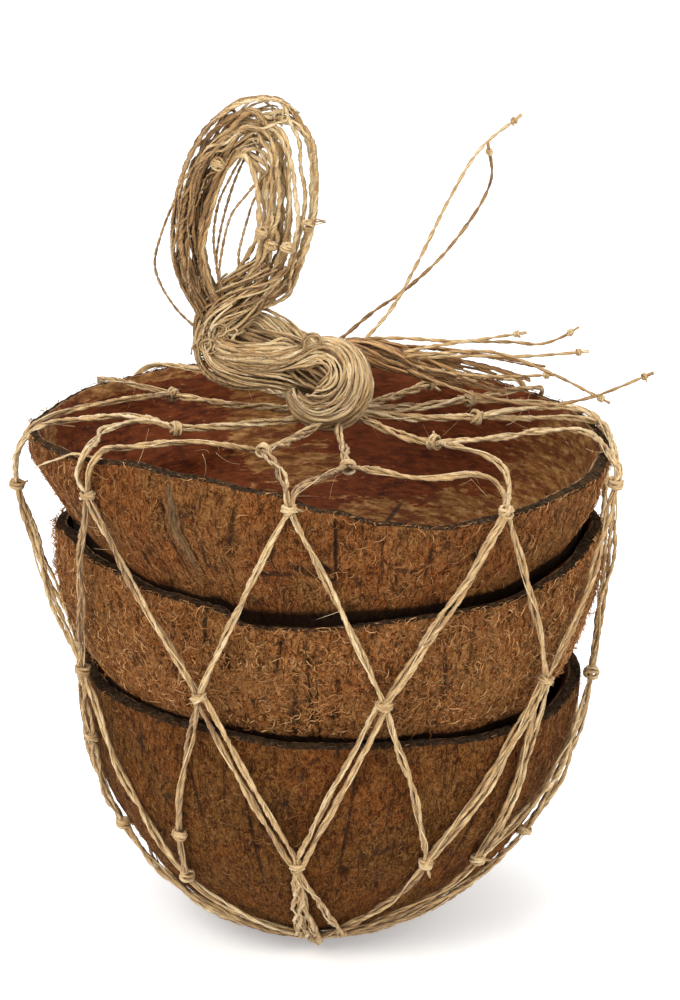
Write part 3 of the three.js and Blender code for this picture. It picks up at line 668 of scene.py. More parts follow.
def outlineAt(azimuth):
    key = round(float(azimuth), 1)
    if key in outlines:
        return outlines[key]
    points = []
    for shell in stack:
        rimZ = float(valueRound(shell["rim"], azimuth))
        z = shell["footZ"] + (rimZ - shell["footZ"]) * (1 - np.cos(math.pi / 2 * np.arange(19) / 18))
        smooth = smoothRadius(shell, z, azimuth)
        r = smooth + axisX(shell,
                           z) * math.sin(math.radians(azimuth)) + shell["ridge"] * smooth / shell["radius"]
        points += list(zip(z.tolist(), r.tolist()))
    kept = []
    for z, r in sorted(points):
        while len(kept) > 1:
            (r0, z0), (r1, z1) = kept[-2:]
            if (z1 - z0) * (r - r1) - (r1 - r0) * (z - z1) < 0:
                break
            kept.pop()
        kept.append((r, z))
    kept = np.array(kept)
    run = np.concatenate([[0], np.cumsum(np.hypot(np.diff(kept[:, 0]), np.diff(kept[:, 1])))])
    outlines[key] = (kept[:, 0], kept[:, 1], run)
    return outlines[key]


def alongOutline(azimuth, lift, z=None, run=None):
    r, heights, runs = outlineAt(azimuth)
    given, values = (z, heights) if run is None else (run, runs)
    i = int(np.clip(np.searchsorted(values, given, side='right'), 1, len(r) - 1))
    t = (given - values[i - 1]) / (values[i] - values[i - 1])
    length = runs[i] - runs[i - 1]
    angle = math.radians(azimuth)
    reach = r[i - 1] + (r[i] - r[i - 1]) * t + lift * (heights[i] - heights[i - 1]) / length
    height = heights[i - 1] + (heights[i] - heights[i - 1]) * t - lift * (r[i] - r[i - 1]) / length
    return np.array([reach * math.sin(angle), -reach * math.cos(angle), height]), runs[i - 1] + length * t


def onStack(knot, lift):
    return alongOutline(knot[0], lift + knot[2], z=knot[1])[0]


def drawnRound(start, end, lift, hurry=1.0, pieces=12):
    turn = (end[0] - start[0] + 180) % 360 - 180
    startRun = alongOutline(start[0], 0, z=start[1])[1]
    endRun = alongOutline(end[0], 0, z=end[1])[1]
    points = []
    for i in range(pieces + 1):
        t = i / pieces
        slack = start[2] + (end[2] - start[2]) * t
        points.append(alongOutline(start[0] + turn * t ** hurry, lift + slack,
                                   run=startRun + (endRun - startRun) * t)[0])
    return points


def mouthPoint(knot):
    azimuth, r = knot
    rimZ = float(valueRound(topShell["rim"], azimuth)) + net["aboveRim"]
    share = (r - net["crownReach"]) / (topShell["radius"] - net["crownReach"])
    angle = math.radians(azimuth)
    return np.array([r * math.sin(angle), -r * math.cos(angle),
                     net["crownFoot"][2] * (1 - share) + rimZ * share])


# A path with its corners rounded off
def eased(points, times=6):
    path = evenPath(points, 0.9)
    for i in range(times):
        path[1:-1] = 0.25 * path[:-2] + 0.5 * path[1:-1] + 0.25 * path[2:]
    return path


# From a knot over the mouth across the cut rim to a knot outside it
def overRim(inner, outer, lift):
    start = mouthPoint(inner)
    end = onStack(outer, lift)
    turn = (outer[0] - inner[0] + 180) % 360 - 180
    slant = 0.5 * float(np.clip((valueRound(topShell["rim"], outer[0]) - outer[1] - 2.5) / 4.5, 0, 1))
    azimuth = inner[0] + turn * (1 - slant)
    azimuth -= math.degrees(topShell["centreX"] * math.cos(math.radians(azimuth)) / topShell["radius"])
    rimZ = float(valueRound(topShell["rim"], azimuth))
    edge = topShell["radius"] + topShell["ridge"]
    on = placed(topShell, edge - 2, azimuth, rimZ + lift)
    outside = placed(topShell, edge + 0.9 * lift, azimuth + 0.2 * slant * turn, rimZ + 0.3 * lift)
    near = 0.2 * start + 0.8 * on + (0, 0, 0.5)
    return eased([start, near, on, outside, end], 4)


netDraw = random.Random(5)
upperNet = newBag()
lowerNet = newBag()
columns = len(net["mouth"])
lift = net["cord"] + net["air"]
for i in range(columns):
    rim, belt, bowl = net["rim"][i], net["belt"][i], net["bowl"][i]
    nextRim, nextMouth = net["rim"][(i + 1) % columns], net["mouth"][(i + 1) % columns]
    mouth = mouthPoint(net["mouth"][i])
    foot = np.array(net["crownFoot"], float)
    outward = (mouth - foot) * (1, 1, 0)
    root = foot + net["crownRadius"] * outward / np.linalg.norm(outward)
    sag = (root + mouth) / 2 - (0, 0, 0.8)
    addCord(upperNet, [root, sag, mouth], netDraw, twines=3, spread=0.8, ends=0.75, lay=26)
    for j in (i, (i + 1) % columns):
        over = overRim(net["mouth"][j], rim, lift)
        if (j, i) in net["detours"]:
            over = eased([mouthPoint(net["mouth"][j]), *net["detours"][(j, i)], onStack(rim, lift)], 2)
        addCord(upperNet, over, netDraw, spread=0.5, wander=0.6)
    addCord(lowerNet, drawnRound(rim, belt, lift), netDraw)
    if i == 1:  # a thick one in front
        addCord(lowerNet, drawnRound(nextRim, belt, lift + 0.3), netDraw, twines=4, spread=0.95, lay=60)
    else:
        addCord(lowerNet, drawnRound(nextRim, belt, lift), netDraw)
    for j in (i, i - 1):
        to = net["bowl"][j]
        if [i, j] in net["doubled"]:
            for side in (-1, 1):
                start = [belt[0] + 1.2 * side, belt[1], belt[2]]
                end = [to[0] + 1.1 * side, to[1], to[2]]
                addCord(lowerNet, drawnRound(start, end, lift), netDraw, spread=0.42, radius=0.52)
        else:
            addCord(lowerNet, drawnRound(belt, to, lift), netDraw)
    addCord(lowerNet, drawnRound(bowl, net["gather"], lift, net["hurry"]), netDraw, spread=0.65)
    addHairs(upperNet, [mouth, onStack(rim, lift), *overRim(nextMouth, rim, lift)], 5, netDraw)
    addHairs(lowerNet, [onStack(belt, lift), *drawnRound(rim, belt, lift)], 4, netDraw)
    addKnot(upperNet, mouth, outward, net["knot"], netDraw)
    for knot in (rim, belt, bowl):
        addKnot(lowerNet, onStack(knot, lift), (0.15, 0, 1), net["knot"], netDraw)
addTwine(upperNet, evenPath(net["stray"], 0.8), 0.4, netDraw, pitch=14, thin=(1, 0.5), tint=0.9)
for azimuth, z in net["ends"]:  # short ends left hanging under the front knot
    path = drawnRound(net["bowl"][0], [azimuth, z, 0], lift + 0.9)
    path.append(path[-1] + np.array([0.9, -0.3, 0.5]))
    addCord(lowerNet, path, netDraw, spread=0.5, lay=12, wander=0.7)
for knot in net["splices"]:
    addKnot(lowerNet, onStack(knot, lift), (0.15, 0, 1), net["knot"], netDraw)
addKnot(lowerNet, onStack(net["gather"], lift), (1, 0, 0.3), 1.9, netDraw, turns=1.8)
upperPiece = bagMesh(upperNet, "net_over_mouth")
lowerPiece = bagMesh(lowerNet, "net_round_shells")
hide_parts("net")
print("net tied")


# A bundle of strands along a line, in rings round it, turned as it goes, from one radius to another
def addBundle(bag, points, radii, twist, draw, strand=0.38, step=1.1, rings=2, flat=1.0, up=(0, 0, 1),
              ragged=0.6, trimmed=0.0, tint=0.5):
    path = evenPath(points, step)
    normal, binormal = framesAlong(path, up)
    t = np.linspace(0, 1, len(path))
    run = t * lengthAlong(path)[-1]
    radius = np.interp(t, np.linspace(0, 1, len(radii)), radii)
    for ring in range(rings):
        reach = np.maximum(0.2, radius - strand - 1.7 * strand * ring)
        count = max(1, int(2 * math.pi * reach.max() / (2.0 * strand)))
        for k in range(count):
            angle = 2 * math.pi * (k / count + twist * t) + draw.gauss(0, 0.12)
            angle = angle + 0.3 * np.sin(run / draw.uniform(4, 10) + draw.uniform(0, 6))
            away = reach * (1 + 0.3 * ragged * np.sin(run / 5 + draw.uniform(0, 6)))
            away = away + draw.gauss(0, 0.4 * ragged)
            shift = sideways(normal, binormal, away * np.cos(angle), flat * away * np.sin(angle))
            kept = max(6, int(len(path) * (1 - trimmed * draw.random())))
            addTwine(bag, (path + shift)[:kept], strand * draw.uniform(0.75, 1.3), draw,
                     pitch=draw.uniform(9, 22), tint=draw.gauss(tint, 0.26), plain=True)


# Crown knot: a band of strands comes from the neck over the top of the ball and lies in arcs round its eye
crown = {
    "ball": (-0.1, -4, 135.2), "size": (10, 8.5, 10.7), "eye": (-0.3, -0.84, 0.45),
    "band": [[-26.5, 1, 147.3], [-26.8, -3.5, 144.2], [-22.6, -6.5, 142.9], [-16.5, -7.5, 142.5],
             [-10.8, -8, 143.2]],
    "bandHalf": (3.4, 2.6),
    "under": [
        [-29, -1, 149.5], [-29.7, -4, 144], [-27, -6.5, 139.8], [-20.8, -7.5, 138], [-13.3, -7, 137.8],
        [-6.8, -4, 135.8], [-2.6, 0, 133]],
    "upper": [[-22, 1, 147.5], [-17, 1, 149.6], [-12.4, 0, 147.9], [-7.7, -1, 145], [-3, -3, 143]],
    "tuck": [[-22, -1, 147], [-16.5, -3, 146.2], [-10.5, -4.5, 144.8], [-4, -5, 142.5]],
    "core": [[-25, 2, 146], [-22, -2, 143], [-12, -3.5, 142], [-4, -4, 139], [2, -4, 136]],
    "loop": [[-6, -6, 143.5], [-5.8, -7, 146.5], [-4.4, -7.5, 148.2], [-2.8, -7, 147.6], [-1.8, -6, 144.5]],
    "layers": [(30, 1.0), (18, 0.93), (16, 0.84)],
}
crownDraw = random.Random(8)
knotBag = newBag()
eye = np.array(crown["eye"]) / np.linalg.norm(crown["eye"])
aside = np.array([1, 0, 0]) - eye * eye[0]
aside = aside / np.linalg.norm(aside)
upward = np.cross(eye, aside)
for layer, (count, shrink) in enumerate(crown["layers"]):
    for k in range(count):
        share = (k + 0.5) / count if layer == 0 else crownDraw.random()
        wide = 13 + 97 * share + crownDraw.gauss(0, 2.2)
        turned = np.radians(np.linspace(crownDraw.gauss(118, 6), -70 - 140 * min(1, share * 1.6), 15))
        away = np.radians(wide + 3.0 * np.sin(2.2 * turned + crownDraw.uniform(0, 6)))
        puff = shrink + 0.02 * crownDraw.gauss(0, 1) + 0.025 * np.sin(3 * turned + crownDraw.uniform(0, 6))
        onBall = (np.outer(np.cos(away), eye) + np.outer(np.sin(away) * np.cos(turned), aside)
                  + np.outer(np.sin(away) * np.sin(turned), upward))
        arc = np.array(crown["ball"]) + puff[:, None] * onBall * np.array(crown["size"])
        high = 2 * share - 1 + crownDraw.gauss(0, 0.12)
        front = math.sqrt(max(0, 1 - min(1, high * high))) * shrink ** 4
        offset = np.array([0, -crown["bandHalf"][1] * front, crown["bandHalf"][0] * high])
        band = [np.array(p) + offset * w for p, w in zip(crown["band"], (0.8, 0.95, 1.05, 1.05, 0.95))]
        sway = crownDraw.gauss(0, 0.5)
        band = [p + np.array([0, 0, sway * math.sin(1.7 * i + k)]) for i, p in enumerate(band)]
        points = band + list(arc)
        if share < 0.3:
            points.append(points[-1] - 3.5 * eye)
        addTwine(knotBag, evenPath(points, 1.0), 0.4 * crownDraw.uniform(0.6, 1.45), crownDraw,
                 pitch=crownDraw.uniform(9, 22), tint=crownDraw.gauss(0.55 - 0.2 * layer, 0.3), plain=True)
addBundle(knotBag, crown["core"], (3.4, 3.2, 3, 5, 5), 0.2, crownDraw, strand=0.55, rings=1, tint=0.2)
addBundle(knotBag, crown["tuck"], (2.2, 2.4, 2.4, 2.2), 0.2, crownDraw, strand=0.42, tint=0.15)
addBundle(knotBag, crown["under"], (2.2, 2.7, 2.8, 2.6, 2.4), 0.3, crownDraw)
addBundle(knotBag, crown["upper"], (2.4, 2.9, 2.9, 2.6), 0.3, crownDraw, tint=0.7)
addCord(knotBag, crown["loop"], crownDraw, twines=3, spread=0.6)
addHairs(knotBag, crown["band"] + crown["under"] + [[3, -12.5, 138], [6, -12, 133], [-3, -12.5, 131]], 34,
         crownDraw)
knotPiece = bagMesh(knotBag, "crown_knot")
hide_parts("top_knot")
print("crown knot wound")

# Hank: its outer and inner edges as [x, z], from the neck up the right, over the top and down the left
hank = {
    "outer": [
        [-21.4, 142], [-19.4, 148.3], [-17.1, 152.4], [-13.4, 153.8], [-9.4, 155.8], [-7, 160.1],
        [-5.1, 166.5], [-3.5, 173.2], [-2.7, 180.2], [-2.7, 186.6], [-3.9, 193.6], [-6.6, 199.4],
        [-10.5, 202.1], [-16.5, 202.8], [-22.2, 201.2], [-28, 196.1], [-32, 189.6], [-34.9, 181.9],
        [-36.4, 173.2], [-36.5, 165.1], [-34.6, 157.9], [-31.1, 151.7], [-29.1, 146.1]],
    "inner": [
        [-30.7, 143.7], [-29.7, 149.2], [-25.9, 154.5], [-23.6, 158.4], [-21.2, 162.2], [-18.6, 166.5],
        [-16.7, 170.8], [-16.4, 175.5], [-16.6, 180.7], [-17.3, 184.9], [-18.4, 188], [-20, 189.6],
        [-21.9, 188.9], [-24.2, 185.4], [-26.1, 180.2], [-28, 173.6], [-29.3, 167.5], [-28.6, 162.7],
        [-27.3, 157.9], [-25, 153.6], [-22.7, 150.2], [-21.8, 147.3], [-21.3, 144.9]],
    "depth": 4.6, "twines": 27, "fine": 30,
    "thin": [
        [[-17.5, -1, 192.5], [-20.3, -1, 188.7], [-23.3, -1, 183.3], [-25.7, -1, 177.9],
         [-26.9, -1, 169.4], [-25.8, -1, 159.8], [-25, -1, 154.8]],
        [[-13, -1, 186.5], [-16.8, -2, 183], [-19.6, -2, 179.7], [-22.6, -2, 175.7], [-25, -2, 166.8],
         [-25.6, -2, 160.6], [-24.5, -2, 154.6]],
        [[-13.6, 0.5, 184.5], [-17.4, 0.5, 178.7], [-19, 0.5, 174], [-20.4, 0.5, 169], [-21.2, 0.5, 165],
         [-20.4, 0.5, 158]],
        [[-16, 2, 193.5], [-18.9, 2, 189.2], [-21.5, 2, 183.8], [-23.9, 2, 176.7], [-25.6, 2, 169.6],
         [-26.4, 2, 163.2], [-25.5, 2, 156.4]],
        [[-34.9, 1, 180.5], [-38.2, 1, 172.9], [-40.6, 1, 165.1], [-40.6, 1, 161.5], [-39, 1, 157.2],
         [-35.6, 1, 151.9], [-31.7, 1, 148]]],
    "knots": [[-15.7, -4, 171.8], [-13.4, -5, 169], [-9.9, -5, 168.4], [-5.1, -3.5, 173.3],
              [-25.7, -3.5, 187.8]],
    "frayed": [[-5.1, -3.5, 173.3], [-3, -3.5, 174.3], [-0.8, -3.5, 174.2]],
    "neck": [[-26, -1.5, 143.5], [-26.2, -1, 149], [-21.5, -0.5, 154.8], [-15.8, -0.5, 160.6],
             [-10.6, -0.5, 166.4]],
    "frizz": 34, "frizzFrom": [(-30.2, -22.7), (-6.6, -4.1), (142.1, 150.6)],
}
hankBag = newBag()
hankDraw = random.Random(14)
outerEdge = np.array(hank["outer"])
innerEdge = np.array(hank["inner"])
last = len(outerEdge) - 1
for k in range(hank["twines"] + hank["fine"]):
    fine = k >= hank["twines"]  # the fine ones keep to the dark left side
    share = 0.02 + 0.96 * (k * 0.618 % 1)
    drift = hankDraw.uniform(-0.5, 0.5)
    phase = hankDraw.uniform(0, 6.28)
    deep = math.sqrt(1 - (2 * share - 1) ** 2) * hank["depth"] * hankDraw.uniform(-1, 1)
    points = []
    for i in range(11 if fine else 0, last + 1):
        t = i / last
        crooked = 0.02 + 0.05 * smoothStep(t, 0.12, 0.3) * smoothStep(1 - t, 0.05, 0.2)
        slow = drift * math.sin(math.pi * t + phase) + 0.1 * math.sin(11 * t + 2 * phase)
        mix = np.clip(share + slow + hankDraw.gauss(0, crooked), 0.01, 0.99)
        # the outermost strands keep a gap inside them
        parted = 0.93 + 0.05 * hankDraw.uniform(-1, 1) if share > 0.8 else 0.8 * mix
        mix = mix + (parted - mix) * smoothStep(t, 0.16, 0.26) * smoothStep(0.56 - t, 0, 0.1)
        x, z = outerEdge[i] * mix + innerEdge[i] * (1 - mix)
        y = deep * math.cos(2.2 * math.pi * t + 0.3 * phase) + hankDraw.gauss(0, 0.6)
        points.append([x, y, z])
    path = evenPath(points, 1.1 if fine else 0.9)
    tint = hankDraw.gauss(0.56, 0.2) - 0.36 * smoothStep(-path[:, 0], 19, 31)  # darker at the left
    tint = tint + 0.2 * smoothStep(path[:, 0], -20, -13)
    tint = tint - 0.35 * smoothStep(path[:, 0], -18, -10) * smoothStep(168 - path[:, 2], 0, 8)
    addTwine(hankBag, path, 0.34 if fine else 0.64 * hankDraw.uniform(0.7, 1.2), hankDraw,
             pitch=hankDraw.uniform(6, 10), tint=tint, plain=fine)
    if k % 2 == 0:
        addHairs(hankBag, path, 1, hankDraw, length=(3, 7))
for points in hank["thin"]:
    addTwine(hankBag, evenPath(points, 0.9), 0.4, hankDraw, pitch=5, tint=0.3)
for at in hank["knots"]:
    addKnot(hankBag, at, (0.4, 0.2, 1), 1.3, hankDraw, turns=1.6, radius=0.55)
addBundle(hankBag, hank["neck"], (4.6, 5.6, 5.6, 5.2, 4.6), 0.3, hankDraw, strand=0.34, rings=3, flat=0.8,
          trimmed=0.55, ragged=0.8, tint=0.55)
for k in range(hank["frizz"]):  # little curls at the foot of the neck
    at = np.array([hankDraw.uniform(*ends) for ends in hank["frizzFrom"]])
    wide, tall, turn = hankDraw.uniform(0.9, 2.4), hankDraw.uniform(0.9, 2.8), hankDraw.uniform(0, 6)
    points = []
    for a in np.arange(0, 5, 0.8):
        points.append(at + (wide * math.cos(a + turn), 0.5 * math.sin(a), tall * math.sin(a + turn)))
    addTwine(hankBag, evenPath(points, 0.7), 0.33, hankDraw, pitch=9, plain=True,
             tint=hankDraw.uniform(0.2, 0.9))
for k in range(6):
    points = [np.array(p) + (0, 0.5 * hankDraw.gauss(0, 1), 0.3 * i * hankDraw.gauss(0, 1))
              for i, p in enumerate(hank["frayed"])]
    addTwine(hankBag, evenPath(points, 0.6), 0.2, hankDraw, plain=True, thin=(1, 0.6), tint=0.3)
hankPiece = bagMesh(hankBag, "hank")
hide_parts("carry_loop")
print("hank hung")

# Loose ends: stiff strands that spring from the knot, each with a small knot at its end
tails = {
    "lines": [
        [[6, 5, 141.3], [14.2, 6, 150.3], [21.2, 7, 162.8], [28.3, 8, 177.3], [35.4, 9, 188.8],
         [44.9, 10, 196.6]],
        [[2, 4, 143.5], [10.8, 7, 150.3], [17.2, 9, 154.2], [28.5, 10, 165], [38, 12, 180.5],
         [37.2, 13, 189.6]],
        [[3.8, 6, 143.4], [15.1, 7.5, 143.4], [29.6, 9, 142.2], [43.7, 10, 141.7], [50.1, 10, 141.2],
         [54.8, 10, 142.7], [59.3, 10, 145.4]],
        [[15, 6.5, 139.6], [24, 7, 141.4], [34, 7.5, 142.8], [46.8, 8, 144.6]],
        [[16, 7, 138.6], [34, 11, 138], [48, 12.5, 137.6], [62, 13, 138.6]],
        [[16, 6, 139], [27, 3.5, 140.8], [38.5, 2, 141.4], [52, 2, 136.4], [66.5, 3, 128.6]],
        [[16, 6.5, 138], [30, 7.5, 134.6], [42, 8, 133.8], [54, 8, 134.2]],
        [[15, 6, 138], [24, 4.5, 134], [36, 3, 130.4], [50, 2, 128.4], [62, 2.5, 130.2], [76.8, 4, 135.8]]],
    "diameter": 1.1,
}
tailDraw = random.Random(21)
tailPieces = []
for k, line in enumerate(tails["lines"]):
    bag = newBag()
    path = evenPath(line, 0.6)
    addTwine(bag, path, tails["diameter"] / 2, tailDraw, thin=(1, 0.75))
    addKnot(bag, path[-5], path[-4] - path[-6], 0.7, tailDraw, radius=0.42)
    piece = bagMesh(bag, "loose_end_%d" % (k + 1))
    tailPieces.append(piece)
# The reddish strands that fan out from behind the ball to the far rim
fan = [
    [[3, 6, 140], [6, 12, 138.7], [12.2, 12, 138.7], [21.7, 12, 137.2], [31.3, 12, 133.8],
     [39.7, 12, 130.8]],
    [[3, 8, 137], [14.6, 16, 135.1], [24.2, 16, 132.7], [33.9, 16, 129.9], [42.3, 16, 128.4]],
    [[3, 7, 141], [15, 14, 138.7], [26.5, 14, 137.2], [38.5, 14, 134.7], [48.1, 14, 131.7]],
    [[3, 6, 138], [15.8, 14, 133.6], [24.2, 14, 131], [31.9, 14, 129.4]],
    [[3, 7, 140.5], [16.9, 14, 139.7], [28.9, 14, 138.9], [40.9, 14, 136.9], [51.7, 14, 134.7]],
]
trunk = newBag()
addBundle(trunk, [[1.2, -1.5, 141], [5, 2.5, 141], [9.5, 5.2, 140.2], [16, 6.5, 138.6], [23, 7.5, 136.6]],
          (2.8, 3.2, 2.6), 0.4, tailDraw, rings=2, strand=0.45, tint=0.1, trimmed=0.3)
addBundle(trunk, [[3, 5, 140], [10, 8.5, 139], [20, 11, 137.2], [32, 13, 134.3], [44, 14, 131]],
          (3, 3.4, 2.9, 2, 1), 0.3, tailDraw, rings=1, strand=0.5, ragged=1, tint=0.2, trimmed=0.55)
for line in fan:
    for k in range(4):
        aside = np.array([0, tailDraw.uniform(-3, 3), tailDraw.uniform(-1.3, 1.1)])
        points = [np.array(p) + aside * (0.3 + 0.7 * i / len(line)) for i, p in enumerate(line)]
        path = evenPath(points, 0.8)
        addTwine(trunk, path, 0.55 * tailDraw.uniform(0.85, 1.15), tailDraw, pitch=tailDraw.uniform(4.5, 8),
                 thin=(1, 0.55), tint=tailDraw.uniform(-0.1, 0.35))
trunkPiece = bagMesh(trunk, "loose_end_roots")
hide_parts("loose_ends")
print("loose ends set")


# Materials: the helpers add nodes to the tree of the material that was started last
def startMaterial(name, roughness, specular=0.5):
    global tree
    material = bpy.data.materials.new(name)
    material.use_nodes = True
    tree = material.node_tree
    shader = tree.nodes["Principled BSDF"]
    shader.inputs["Roughness"].default_value = roughness
    shader.inputs["Specular IOR Level"].default_value = specular
    return material, shader


def addNode(kind, inputs, out=0, **settings):
    node = tree.nodes.new("ShaderNode" + kind)
    for key, value in settings.items():
        setattr(node, key, value)
    for key, value in inputs.items():
        if isinstance(value, bpy.types.NodeSocket):
            tree.links.new(value, node.inputs[key])
        else:
            node.inputs[key].default_value = value
    return node.outputs[out]


def finished(material, shader, colour, height=None, strength=0, distance=0):
    tree.links.new(colour, shader.inputs["Base Color"])
    if height is not None:
        normal = addNode("Bump", {"Height": height, "Strength": strength, "Distance": distance})
        tree.links.new(normal, shader.inputs["Normal"])
    return material


def valueOf(name, out="Fac"):
    return addNode("Attribute", {}, out, attribute_name=name)


def scaledBy(vector, scale, shift=(0, 0, 0)):
    return addNode("Mapping", {"Vector": vector, "Scale": scale, "Location": shift})


def noiseFrom(vector, scale, detail=4, roughness=0.6, distortion=0, out="Fac"):
    return addNode("TexNoise", {"Vector": vector, "Scale": scale, "Detail": detail, "Roughness": roughness,
                                "Distortion": distortion}, out)


def ranged(value, low, high, newLow=0, newHigh=1):
    return addNode("MapRange", {"Value": value, "From Min": low, "From Max": high, "To Min": newLow,
                                "To Max": newHigh}, interpolation_type='SMOOTHSTEP')


def figured(operation, first, second=0):
    return addNode("Math", {0: first, 1: second}, operation=operation)


def combined(operation, values):
    total = values[0]
    for value in values[1:]:
        total = figured(operation, total, value)
    return total


def weighted(*parts):
    return combined('ADD', [figured('MULTIPLY', value, share) for value, share in parts])


def ramped(value, stops):
    colour = addNode("ValToRGB", {"Fac": value})
    ramp = colour.node.color_ramp
    while len(ramp.elements) < len(stops):
        ramp.elements.new(0.5)
    for element, (at, shade) in zip(ramp.elements, stops):
        element.position = at
        element.color = (*shade, 1)
    return colour


def mixed(factor, first, second, blend='MIX'):
    first, second = [(*colour, 1) if isinstance(colour, tuple) else colour for colour in (first, second)]
    return addNode("Mix", {0: factor, 6: first, 7: second}, 2, data_type='RGBA', blend_type=blend)


def bowedLines(vector, scale, thin, distortion=0.6, detail=1.5):
    value = noiseFrom(vector, scale, detail, 0.5, distortion)
    return ranged(figured('ABSOLUTE', figured('SUBTRACT', value, 0.5)), 0, thin, 1, 0)


# Each husk's colours go from its pits to its palest fibres
huskLook = {
    "shell_top": {"colours": [(0.026, 0.01, 0.004), (0.11, 0.036, 0.009), (0.235, 0.078, 0.017),
                              (0.36, 0.145, 0.038), (0.52, 0.27, 0.1)], "lines": 0.55, "upright": 0.68,
                  "blotch": 0.75},
    "shell_middle": {"colours": [(0.026, 0.009, 0.003), (0.135, 0.043, 0.01), (0.28, 0.092, 0.018),
                                 (0.43, 0.172, 0.042), (0.6, 0.33, 0.135)],
                     "lines": 0.7, "upright": 0.95, "blotch": 0.45},
    "shell_bottom": {"colours": [(0.022, 0.009, 0.004), (0.08, 0.027, 0.006), (0.165, 0.054, 0.01),
                                 (0.26, 0.102, 0.021), (0.38, 0.2, 0.07)],
                     "lines": 0.4, "upright": 0.7, "blotch": 0.6},
}


def grainPoint(shell, azimuth, z):
    angle = math.radians(azimuth)
    return Vector((shell["radius"] * math.sin(angle), -shell["radius"] * math.cos(angle),
                   float(downHusk(shell, z))))


# How far a point is from the middle of an ellipsoid, 1 at its skin
def awayFrom(vector, centre, size, turned=(0, 0, 0)):
    local = addNode("Mapping", {"Vector": vector, "Location": centre, "Rotation": turned, "Scale": size},
                    vector_type='TEXTURE')
    return addNode("VectorMath", {0: local}, "Value", operation='LENGTH')


# The same for a long thin mark, given like a scar
def markAway(grain, shell, mark, shift=0.0):
    start = grainPoint(shell, mark[0], mark[1])
    end = grainPoint(shell, mark[2], mark[3])
    middle = (start + end) / 2
    along = (end - start).normalized()
    across = along.cross(Vector((middle.x, middle.y, 0))).normalized()
    turned = Matrix((across, along.cross(across), along)).transposed().to_euler()
    size = (1.25 * mark[4], 9, 0.56 * (end - start).length)
    return awayFrom(grain, middle + Vector((shift, shift, shift)), size, turned)


scarsSeen = 62  # only the scars this far to either side of the front are coloured


def scarMask(grain, shell, pale):
    masks = []
    for scar in scars[shell["name"]]:
        if abs(scar[0]) < scarsSeen and (scar[5] < 0) == pale:
            away = markAway(grain, shell, scar, 0.5)  # the ragged shift is 0.5 on average
            masks.append(ranged(away, 0.55, 1.15, min(1, 0.3 + abs(scar[5])), 0))
    return combined('MAXIMUM', masks) if masks else None


def huskMaterial(shell):
    look = huskLook[shell["name"]]
    material, shader = startMaterial("coir_husk_" + shell["name"][6:], 0.92, 0.05)
    dark, pale = look["colours"][0], look["colours"][-1]
    upright = look["upright"]
    grain = valueOf("grain", "Vector")
    clumps = noiseFrom(scaledBy(grain, (1, 1, upright)), 0.85, 8, 0.74, 0.9)
    fine = noiseFrom(scaledBy(grain, (1, 1, 0.5 + 0.5 * upright)), 2.5, 4, 0.8, 0.8)
    cracks = bowedLines(scaledBy(grain, (1, 1, 0.4 * upright), (50, 3, 8)), 0.42, 0.03, 0.8, 4)
    curls = bowedLines(scaledBy(grain, (1, 1, 0.8)), 0.8, 0.065, 1.2)
    hairs = bowedLines(scaledBy(grain, (1, 1, 0.55), (31, 7, 12)), 1.3, 0.08, 1.1)
    blotch = noiseFrom(grain, 0.06, 5)
    pits = noiseFrom(scaledBy(grain, (1, 1, 0.7), (5, 90, 2)), 0.24, 7, 0.7)
    height = weighted((clumps, 0.52), (fine, 0.48))
    colour = ramped(height, list(zip((0.39, 0.445, 0.495, 0.55, 0.62), look["colours"])))
    colour = mixed(ranged(blotch, 0.42, 0.58, 0, look["blotch"]), colour, (1.12, 0.78, 0.6), 'MULTIPLY')
    lines = ranged(height, 0.42, 0.56, 0.15 * look["lines"], look["lines"])
    lines = figured('MULTIPLY', figured('MAXIMUM', curls, hairs), lines)
    colour = mixed(lines, colour, pale)
    colour = mixed(figured('MULTIPLY', cracks, 0.75), colour, dark)
    colour = mixed(ranged(pits, 0.58, 0.68, 0, 0.8), colour, (0.028, 0.018, 0.014))
    # painted shade: the husk turns dark where its relief is pushed in, in pits and dents
    colour = mixed(ranged(valueOf("paintedShadeRelief"), -1.0, -0.1, 0.8, 0), colour, dark)
    ragged = addNode("VectorMath", {0: grain, 1: noiseFrom(grain, 0.9, 3, 0.5, out="Color")},
                     operation='ADD')
    worn = scarMask(ragged, shell, True)
    if worn:
        woody = noiseFrom(scaledBy(grain, (1, 1, 0.12), (3, 3, 3)), 2.2, 4, 0.7)
        woody = ramped(woody, [(0.36, (0.06, 0.033, 0.016)), (0.5, (0.19, 0.115, 0.056)),
                               (0.64, (0.4, 0.26, 0.13))])
        colour = mixed(figured('MULTIPLY', worn, 1.5), colour, woody)
    scarred = figured('MULTIPLY', scarMask(ragged, shell, False), ranged(clumps, 0.36, 0.52, 0.3, 1))
    colour = mixed(scarred, colour, (0.026, 0.015, 0.01))
    # painted shade: near-black where the mark value puts the husk in the gap above the rim below
    colour = mixed(ranged(valueOf("mark"), 0.15, 0.95, 0, 0.93), colour, (0.011, 0.006, 0.004))
    if shell is bottomShell:  # painted light: paler and a touch more olive lower down, as light from the floor would make it
        down = addNode("SeparateXYZ", {"Vector": grain}, "Z")
        colour = mixed(ranged(down, 38, 78), colour, (1.3, 1.42, 1.35), 'MULTIPLY')
    return finished(material, shader, colour, weighted((height, 1), (lines, 0.25), (cracks, -0.25)), 1.0,
                    0.0022)


